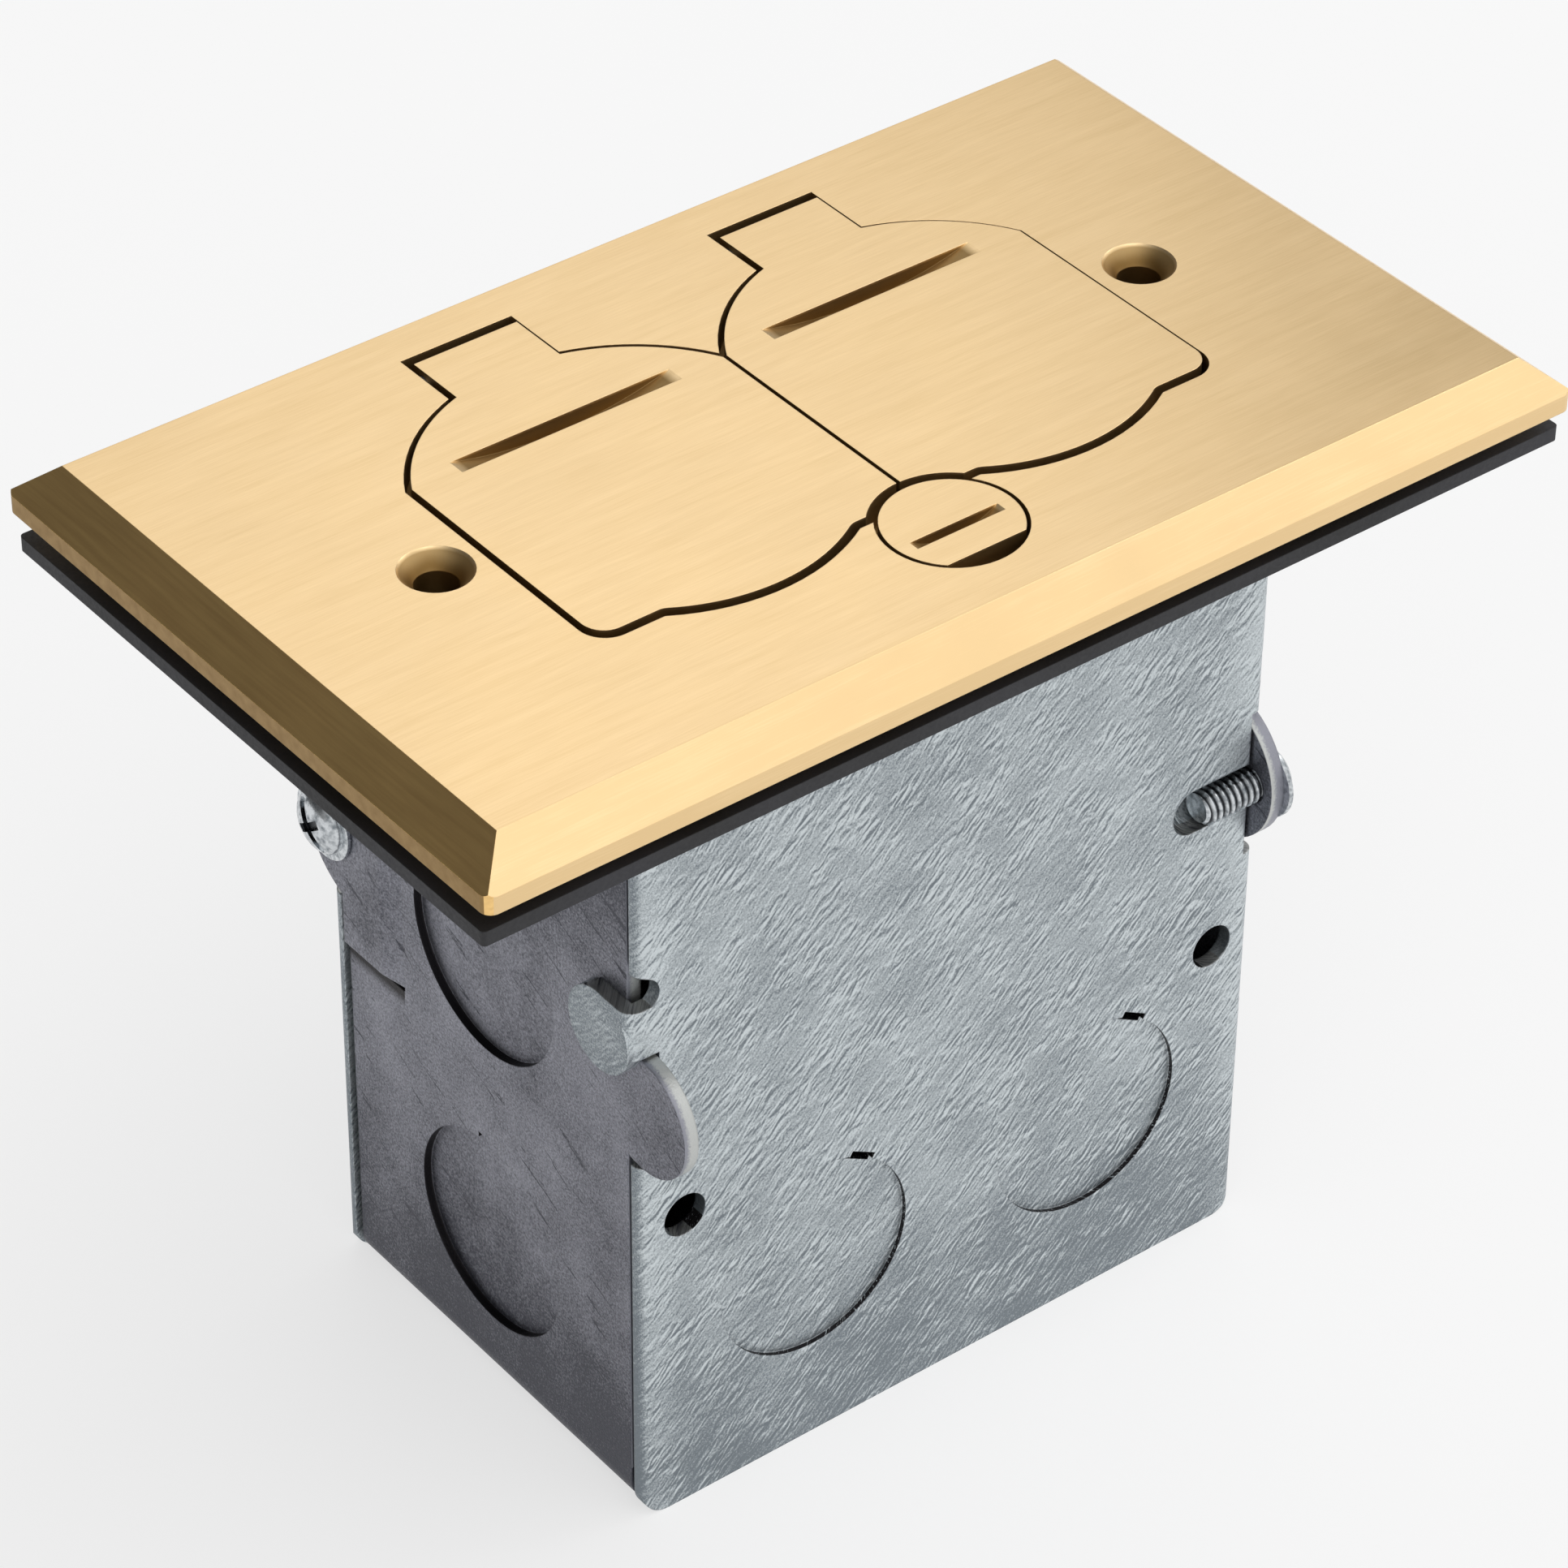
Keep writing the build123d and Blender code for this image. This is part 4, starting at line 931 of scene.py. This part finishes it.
def threaded_shank(screws, mesh, radius, length, steps_per_turn=28):
    """Adds a threaded shank from the origin down -Z: a groove's profile spun to a helix."""
    pitch, depth = screws.thread_pitch, screws.thread_depth
    chamfer = min(0.5 * pitch, 0.3 * radius)
    turns = math.ceil(length / pitch) + 1
    thread = bmesh.new()
    core = radius - depth
    profile = [(core, 0), (radius, 0.3 * pitch), (radius, 0.45 * pitch), (core, pitch)]
    verts = [thread.verts.new((r, 0, z + pitch * 0.5)) for r, z in profile]
    edges = [thread.edges.new(pair) for pair in zip(verts, verts[1:])]
    bmesh.ops.spin(
        thread,
        geom=verts + edges,
        cent=(0, 0, 0),
        axis=(0, 0, 1),
        dvec=(0, 0, -pitch / steps_per_turn),
        angle=-2 * math.pi * turns,
        steps=steps_per_turn * turns,
    )
    bmesh.ops.remove_doubles(thread, verts=thread.verts, dist=0.002 * MM)
    for height, keep_above in ((chamfer - length, True), (0, False)):
        bmesh.ops.bisect_plane(
            thread,
            geom=thread.verts[:] + thread.edges[:] + thread.faces[:],
            plane_co=(0, 0, height),
            plane_no=(0, 0, 1),
            clear_inner=keep_above,
            clear_outer=not keep_above,
        )
    open_edges = [e for e in thread.edges if e.is_boundary]
    bmesh.ops.holes_fill(thread, edges=open_edges, sides=0)
    end_height = chamfer - length + SAME_PLACE
    end_faces = [face for face in thread.faces if face.calc_center_median().z < end_height]
    tip = max(end_faces, key=lambda face: face.calc_area())
    bmesh.ops.inset_region(thread, faces=[tip], thickness=0.9 * chamfer)
    for vert in tip.verts:
        vert.co.z = -length
    join(mesh, thread)


def spun_head(mesh, outline, steps=48):
    """Adds a head: its outline of (radius, height) spun round Z."""
    verts = [mesh.verts.new((r, 0, z)) for r, z in outline]
    edges = [mesh.edges.new(pair) for pair in zip(verts, verts[1:])]
    bmesh.ops.spin(
        mesh,
        geom=verts + edges,
        cent=(0, 0, 0),
        axis=(0, 0, 1),
        angle=2 * math.pi,
        steps=steps,
        use_merge=True,
    )
    bmesh.ops.remove_doubles(mesh, verts=mesh.verts, dist=SAME_PLACE)


def sink_slots(mesh, slots, floor_height):
    """Cuts driver slots into the upward faces: outlines are sliced in, then pushed to one floor.

    Each slot is its half length, its half width and its turn.
    """
    for half_length, half_width, turn in slots:
        rotation = Matrix.Rotation(turn, 4, "Z")
        for normal, reach in (((1, 0, 0), half_length), ((0, 1, 0), half_width)):
            direction = rotation @ Vector(normal)
            for side in (-1, 1):
                bmesh.ops.bisect_plane(
                    mesh,
                    geom=mesh.verts[:] + mesh.edges[:] + mesh.faces[:],
                    plane_co=direction * reach * side,
                    plane_no=direction,
                )

    def in_slot(face):
        middle = face.calc_center_median()
        for half_length, half_width, turn in slots:
            spot = Matrix.Rotation(-turn, 4, "Z") @ middle
            if abs(spot.x) < half_length and abs(spot.y) < half_width:
                return face.normal.z > 0.2
        return False

    mesh.normal_update()
    chosen = [face for face in mesh.faces if in_slot(face)]
    result = bmesh.ops.extrude_face_region(mesh, geom=chosen)
    bmesh.ops.delete(mesh, geom=chosen, context="FACES")
    for item in result["geom"]:
        if isinstance(item, bmesh.types.BMVert):
            item.co.z = floor_height


def dome_outline(radius, base, height, steps=8):
    """Points of a domed top, from its rim to the axis, without its lowest 12 degrees."""
    rim_angle = math.radians(12)
    full_radius = radius / math.cos(rim_angle)
    points = []
    for step in range(steps + 1):
        angle = rim_angle + (math.pi / 2 - rim_angle) * step / steps
        points.append((full_radius * math.cos(angle), base + height * math.sin(angle)))
    return points


def pan_screw(screws, head_radius):
    """A side screw with a washer face, a dome and a combination recess, head up on Z."""
    mesh = bmesh.new()
    flange, height = screws.flange_height, screws.side_head_height
    dome = head_radius * screws.dome_share
    # The flange's rim is broken by a tenth of a millimetre below and above
    outline = [(0, 0), (head_radius - 0.08 * MM, 0), (head_radius, 0.1 * MM)]
    outline += [(head_radius, flange - 0.1 * MM), (head_radius - 0.12 * MM, flange), (dome, flange)]
    outline += dome_outline(dome, flange, height - flange)
    spun_head(mesh, outline)
    bmesh.ops.recalc_face_normals(mesh, faces=mesh.faces)
    half_width = screws.slot_width / 2
    long_slot = (dome * 0.86, half_width, 0)
    short_slot = (dome * 0.5, half_width, math.pi / 2)
    sink_slots(mesh, [long_slot, short_slot], height - screws.slot_depth)
    threaded_shank(screws, mesh, screws.side_shank_radius, screws.side_shank_length)
    return mesh


def countersunk_screw(screws, shank_radius, head_radius, cone, length, dome):
    """A slotted screw with a countersunk head and a low dome, its rim at the origin's height."""
    mesh = bmesh.new()
    outline = [(0, -cone), (shank_radius, -cone), (head_radius, -0.15 * MM), (head_radius, 0)]
    outline += dome_outline(head_radius, 0, dome)
    spun_head(mesh, outline)
    bmesh.ops.recalc_face_normals(mesh, faces=mesh.faces)
    sink_slots(mesh, [(head_radius * 0.97, screws.slot_width / 2, 0)], dome - screws.slot_depth)
    shank = bmesh.new()
    threaded_shank(screws, shank, shank_radius, length - cone)
    bmesh.ops.translate(shank, verts=shank.verts, vec=(0, 0, -cone))
    join(mesh, shank)
    return mesh


def point_along(mesh, axis, place):
    """Turns a piece made head up to face this axis, and moves it to its place."""
    turn = Vector((0, 0, 1)).rotation_difference(Vector(axis)).to_matrix().to_4x4()
    bmesh.ops.transform(mesh, matrix=Matrix.Translation(place) @ turn, verts=mesh.verts)


# Operators, one for each group of pieces


class FLOORBOX_OT_brass_cover(bpy.types.Operator):
    """Dress the cover plate, the lids and the lock in satin brass"""

    bl_idname = "floorbox.brass_cover"
    bl_label = "Brass cover"

    def execute(self, context):
        finish = context.scene.floorbox_finishes
        dress(satin_brass(finish), "cover_plate", "lid_left", "lid_right", "lock_cam")
        return {"FINISHED"}


class FLOORBOX_OT_rubber(bpy.types.Operator):
    """Dress the gasket and the lid seals in moulded rubber"""

    bl_idname = "floorbox.rubber"
    bl_label = "Gasket and seals"

    def execute(self, context):
        finish = context.scene.floorbox_finishes
        rubber = moulded(
            "gasket_rubber", finish.rubber, shade="2B2B30", roughness=0.62, grit=0.35 * MM
        )
        dress(rubber, "cover_gasket", "lid_seal_left", "lid_seal_right")
        return {"FINISHED"}


class FLOORBOX_OT_steel_hardware(bpy.types.Operator):
    """Dress the hinge and lock hardware in spring steel"""

    bl_idname = "floorbox.steel_hardware"
    bl_label = "Hinge and lock hardware"

    def execute(self, context):
        dress(
            stamped_metal("spring_steel", "AEB1B5", shade="8D9196", roughness=0.34),
            "hinge_pins",
            "hinge_keeper",
            "keeper_rivets",
            "lock_washer",
            "lock_clip",
        )
        return {"FINISHED"}


class FLOORBOX_OT_steel_box(bpy.types.Operator):
    """Dress the box body and its two sides in galvanised sheet"""

    bl_idname = "floorbox.steel_box"
    bl_label = "Steel box"

    def execute(self, context):
        finish = context.scene.floorbox_finishes
        dress(streaked_zinc(finish), "side_plate_near", "side_plate_far")
        dress(fine_zinc(finish), "box_body")
        return {"FINISHED"}


class FLOORBOX_OT_gang_screws(bpy.types.Operator):
    """Make the two threaded screws that hold the sides to the body"""

    bl_idname = "floorbox.gang_screws"
    bl_label = "Side screws"

    def execute(self, context):
        screws = context.scene.floorbox_screws
        head_radius = (screws_high.z - screws_low.z) / 2
        axis_z = (screws_high.z + screws_low.z) / 2
        under_head = screws_high.x - screws.side_head_height
        finish = bright_zinc(screws, screws_high.y - head_radius, axis_z)
        turn = Matrix.Rotation(screws.side_turn, 3, "Z")
        for name, side in (("gang_screw_near", 1), ("gang_screw_far", -1)):
            mesh = pan_screw(screws, head_radius)
            bmesh.ops.rotate(mesh, cent=(0, 0, 0), matrix=turn, verts=mesh.verts)
            seat = Vector((side * under_head, side * (screws_low.y + head_radius), axis_z))
            point_along(mesh, (side, 0, 0), seat)
            piece = finish_piece(name, mesh, finish, "box", "zinc_screw", "gang_screws")
            smooth_by_angle(piece, SHARP_EDGE)
        return {"FINISHED"}


class FLOORBOX_OT_center_screw(bpy.types.Operator):
    """Make the slotted screw that holds the receptacle up against the plate"""

    bl_idname = "floorbox.center_screw"
    bl_label = "Center screw"

    def execute(self, context):
        screws = context.scene.floorbox_screws
        low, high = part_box("center_screw")
        head_radius = (high.x - low.x) / 2
        dome = 0.25 * MM
        cone = head_radius - screws.center_shank_radius
        mesh = countersunk_screw(
            screws, screws.center_shank_radius, head_radius, cone, high.z - low.z - dome, dome
        )
        middle = (low + high) / 2
        bmesh.ops.translate(mesh, verts=mesh.verts, vec=(middle.x, middle.y, high.z - dome))
        finish = bpy.data.materials["bright_zinc"]
        piece = finish_piece(
            "center_screw_slotted", mesh, finish, "box", "zinc_screw", "center_screw"
        )
        smooth_by_angle(piece, SHARP_EDGE)
        return {"FINISHED"}


class FLOORBOX_OT_receptacle(bpy.types.Operator):
    """Dress the receptacle, its strap and its rivets"""

    bl_idname = "floorbox.receptacle"
    bl_label = "Receptacle"

    def execute(self, context):
        finish = context.scene.floorbox_finishes
        nylon = moulded(
            "ivory_nylon", finish.ivory, shade="E2D7BB", roughness=0.36, grit=0.25 * MM
        )
        phenolic = moulded(
            "black_phenolic", "26211E", shade="1E1A18", roughness=0.45, grit=0.3 * MM
        )
        plated = stamped_metal("plated_strap", "C2C5C6", shade="A3A7A9", roughness=0.32)
        dress(nylon, "receptacle_face")
        dress(phenolic, "receptacle_body")
        dress(plated, "mounting_strap", "strap_rivets")
        return {"FINISHED"}


class FLOORBOX_OT_contacts(bpy.types.Operator):
    """Dress the contacts and the terminal screws"""

    bl_idname = "floorbox.contacts"
    bl_label = "Contacts and terminals"

    def execute(self, context):
        dress(
            stamped_metal("contact_brass", "D9B878", shade="B8935A", roughness=0.3),
            "hot_contacts",
            "ground_contacts",
            "hot_terminal_screws",
        )
        dress(
            stamped_metal("nickel_plate", "D0CEC8", shade="ABA9A3", roughness=0.25),
            "neutral_contacts",
            "neutral_terminal_screws",
        )
        green = stamped_metal("green_dyed_screw", "3E9B5C", shade="2C7A46", roughness=0.35)
        dress(green, "ground_terminal_screw")
        return {"FINISHED"}


class FLOORBOX_OT_stage(bpy.types.Operator):
    """Set up the floor, the light and the camera"""

    bl_idname = "floorbox.stage"
    bl_label = "Studio"

    def execute(self, context):
        studio = context.scene.floorbox_studio
        lay_floor(studio)
        light_world(studio)
        middle = (0, 0, 0.05)
        add_lamp("key_panel", (0.88, -0.08, 0.85), aim=middle, side=0.7, power=2.4)
        add_lamp("top_panel", (0.0, -0.55, 1.15), aim=middle, side=0.9, power=1.6)
        add_lamp("back_panel", (0.12, 0.28, 0.48), aim=(-0.03, -0.02, 0.1), side=0.36, power=0.2)
        place_camera(studio)
        context.scene.view_settings.view_transform = "Standard"
        return {"FINISHED"}


def lay_floor(studio):
    """A square pale floor under the box."""
    mesh = bmesh.new()
    bmesh.ops.create_grid(mesh, x_segments=1, y_segments=1, size=studio.floor_side / 2)
    data = bpy.data.meshes.new("studio_floor")
    mesh.to_mesh(data)
    mesh.free()
    data.materials.append(pale_floor(studio))
    floor = bpy.data.objects.new("studio_floor", data)
    bpy.context.scene.collection.objects.link(floor)


def light_world(studio):
    """Even studio light that falls off behind the plate's left end and low behind its right end."""
    world = bpy.data.worlds.new("studio_world")
    bpy.context.scene.world = world
    world.use_nodes = True
    tree = world.node_tree
    background = tree.nodes["Background"]
    background.inputs["Color"].default_value = linear("FFFFFF")
    direction = add_node(tree, "ShaderNodeTexCoord")
    levels = []
    # Each shaded side: its direction, where the fall starts and ends, and the strength left there
    for shaded_side, start, end, darkest in (
        ((-0.58, 0.66, 0.35), 0.1, 0.9, studio.sky_dark),
        ((0.85, 0.42, 0.32), 0.84, 1.0, 0.15),
    ):
        towards = add_node(
            tree,
            "ShaderNodeVectorMath",
            {0: direction.outputs["Generated"], 1: Vector(shaded_side).normalized()},
            operation="DOT_PRODUCT",
        )
        level = add_node(
            tree,
            "ShaderNodeMapRange",
            {
                "Value": towards.outputs["Value"],
                "From Min": start,
                "From Max": end,
                "To Min": studio.sky_bright,
                "To Max": darkest,
            },
            interpolation_type="SMOOTHSTEP",
        )
        levels.append(level.outputs[0])
    darker = add_node(tree, "ShaderNodeMath", {0: levels[0], 1: levels[1]}, operation="MINIMUM")
    tree.links.new(darker.outputs[0], background.inputs["Strength"])


def add_lamp(name, place, aim, side, power):
    """A square soft panel that faces its aim."""
    lamp = bpy.data.lights.new(name, "AREA")
    lamp.size = side
    lamp.energy = power
    panel = bpy.data.objects.new(name, lamp)
    panel.location = place
    panel.rotation_euler = (Vector(aim) - Vector(place)).to_track_quat("-Z", "Y").to_euler()
    bpy.context.scene.collection.objects.link(panel)


def place_camera(studio):
    """The camera, at the photo's angle."""
    data = bpy.data.cameras.new("camera")
    data.lens = studio.camera_lens
    camera = bpy.data.objects.new("camera", data)
    azimuth, elevation = studio.camera_azimuth, studio.camera_elevation
    back = Vector((-math.sin(azimuth), -math.cos(azimuth), 0)) * math.cos(elevation)
    back.z = math.sin(elevation)
    camera.location = Vector(studio.camera_aim) + back * studio.camera_distance
    turn = (-back).to_track_quat("-Z", "Y").to_matrix().to_4x4()
    camera.rotation_euler = (turn @ Matrix.Rotation(studio.camera_roll, 4, "Z")).to_euler()
    bpy.context.scene.collection.objects.link(camera)
    bpy.context.scene.camera = camera


class FLOORBOX_PT_panel(bpy.types.Panel):
    """Buttons of the floor box"""

    bl_idname = "FLOORBOX_PT_panel"
    bl_label = "Floor Box"
    bl_space_type = "VIEW_3D"
    bl_region_type = "UI"
    bl_category = "Floor Box"

    def draw(self, context):
        for operator in operators:
            self.layout.operator(operator.bl_idname)


groups = (
    ("floorbox_finishes", FloorBoxFinishes),
    ("floorbox_screws", FloorBoxScrews),
    ("floorbox_studio", FloorBoxStudio),
)
operators = (
    FLOORBOX_OT_brass_cover,
    FLOORBOX_OT_rubber,
    FLOORBOX_OT_steel_hardware,
    FLOORBOX_OT_steel_box,
    FLOORBOX_OT_gang_screws,
    FLOORBOX_OT_center_screw,
    FLOORBOX_OT_receptacle,
    FLOORBOX_OT_contacts,
    FLOORBOX_OT_stage,
)


def register():
    for name, group in groups:
        bpy.utils.register_class(group)
        setattr(bpy.types.Scene, name, bpy.props.PointerProperty(type=group))
    for operator in operators:
        bpy.utils.register_class(operator)
    bpy.utils.register_class(FLOORBOX_PT_panel)


def unregister():
    bpy.utils.unregister_class(FLOORBOX_PT_panel)
    for operator in reversed(operators):
        bpy.utils.unregister_class(operator)
    for name, group in reversed(groups):
        delattr(bpy.types.Scene, name)
        bpy.utils.unregister_class(group)


def main():
    """Builds everything."""
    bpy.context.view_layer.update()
    register()
    for operator in operators:
        area, name = operator.bl_idname.split(".")
        getattr(getattr(bpy.ops, area), name)()


if __name__ == "__main__":
    main()
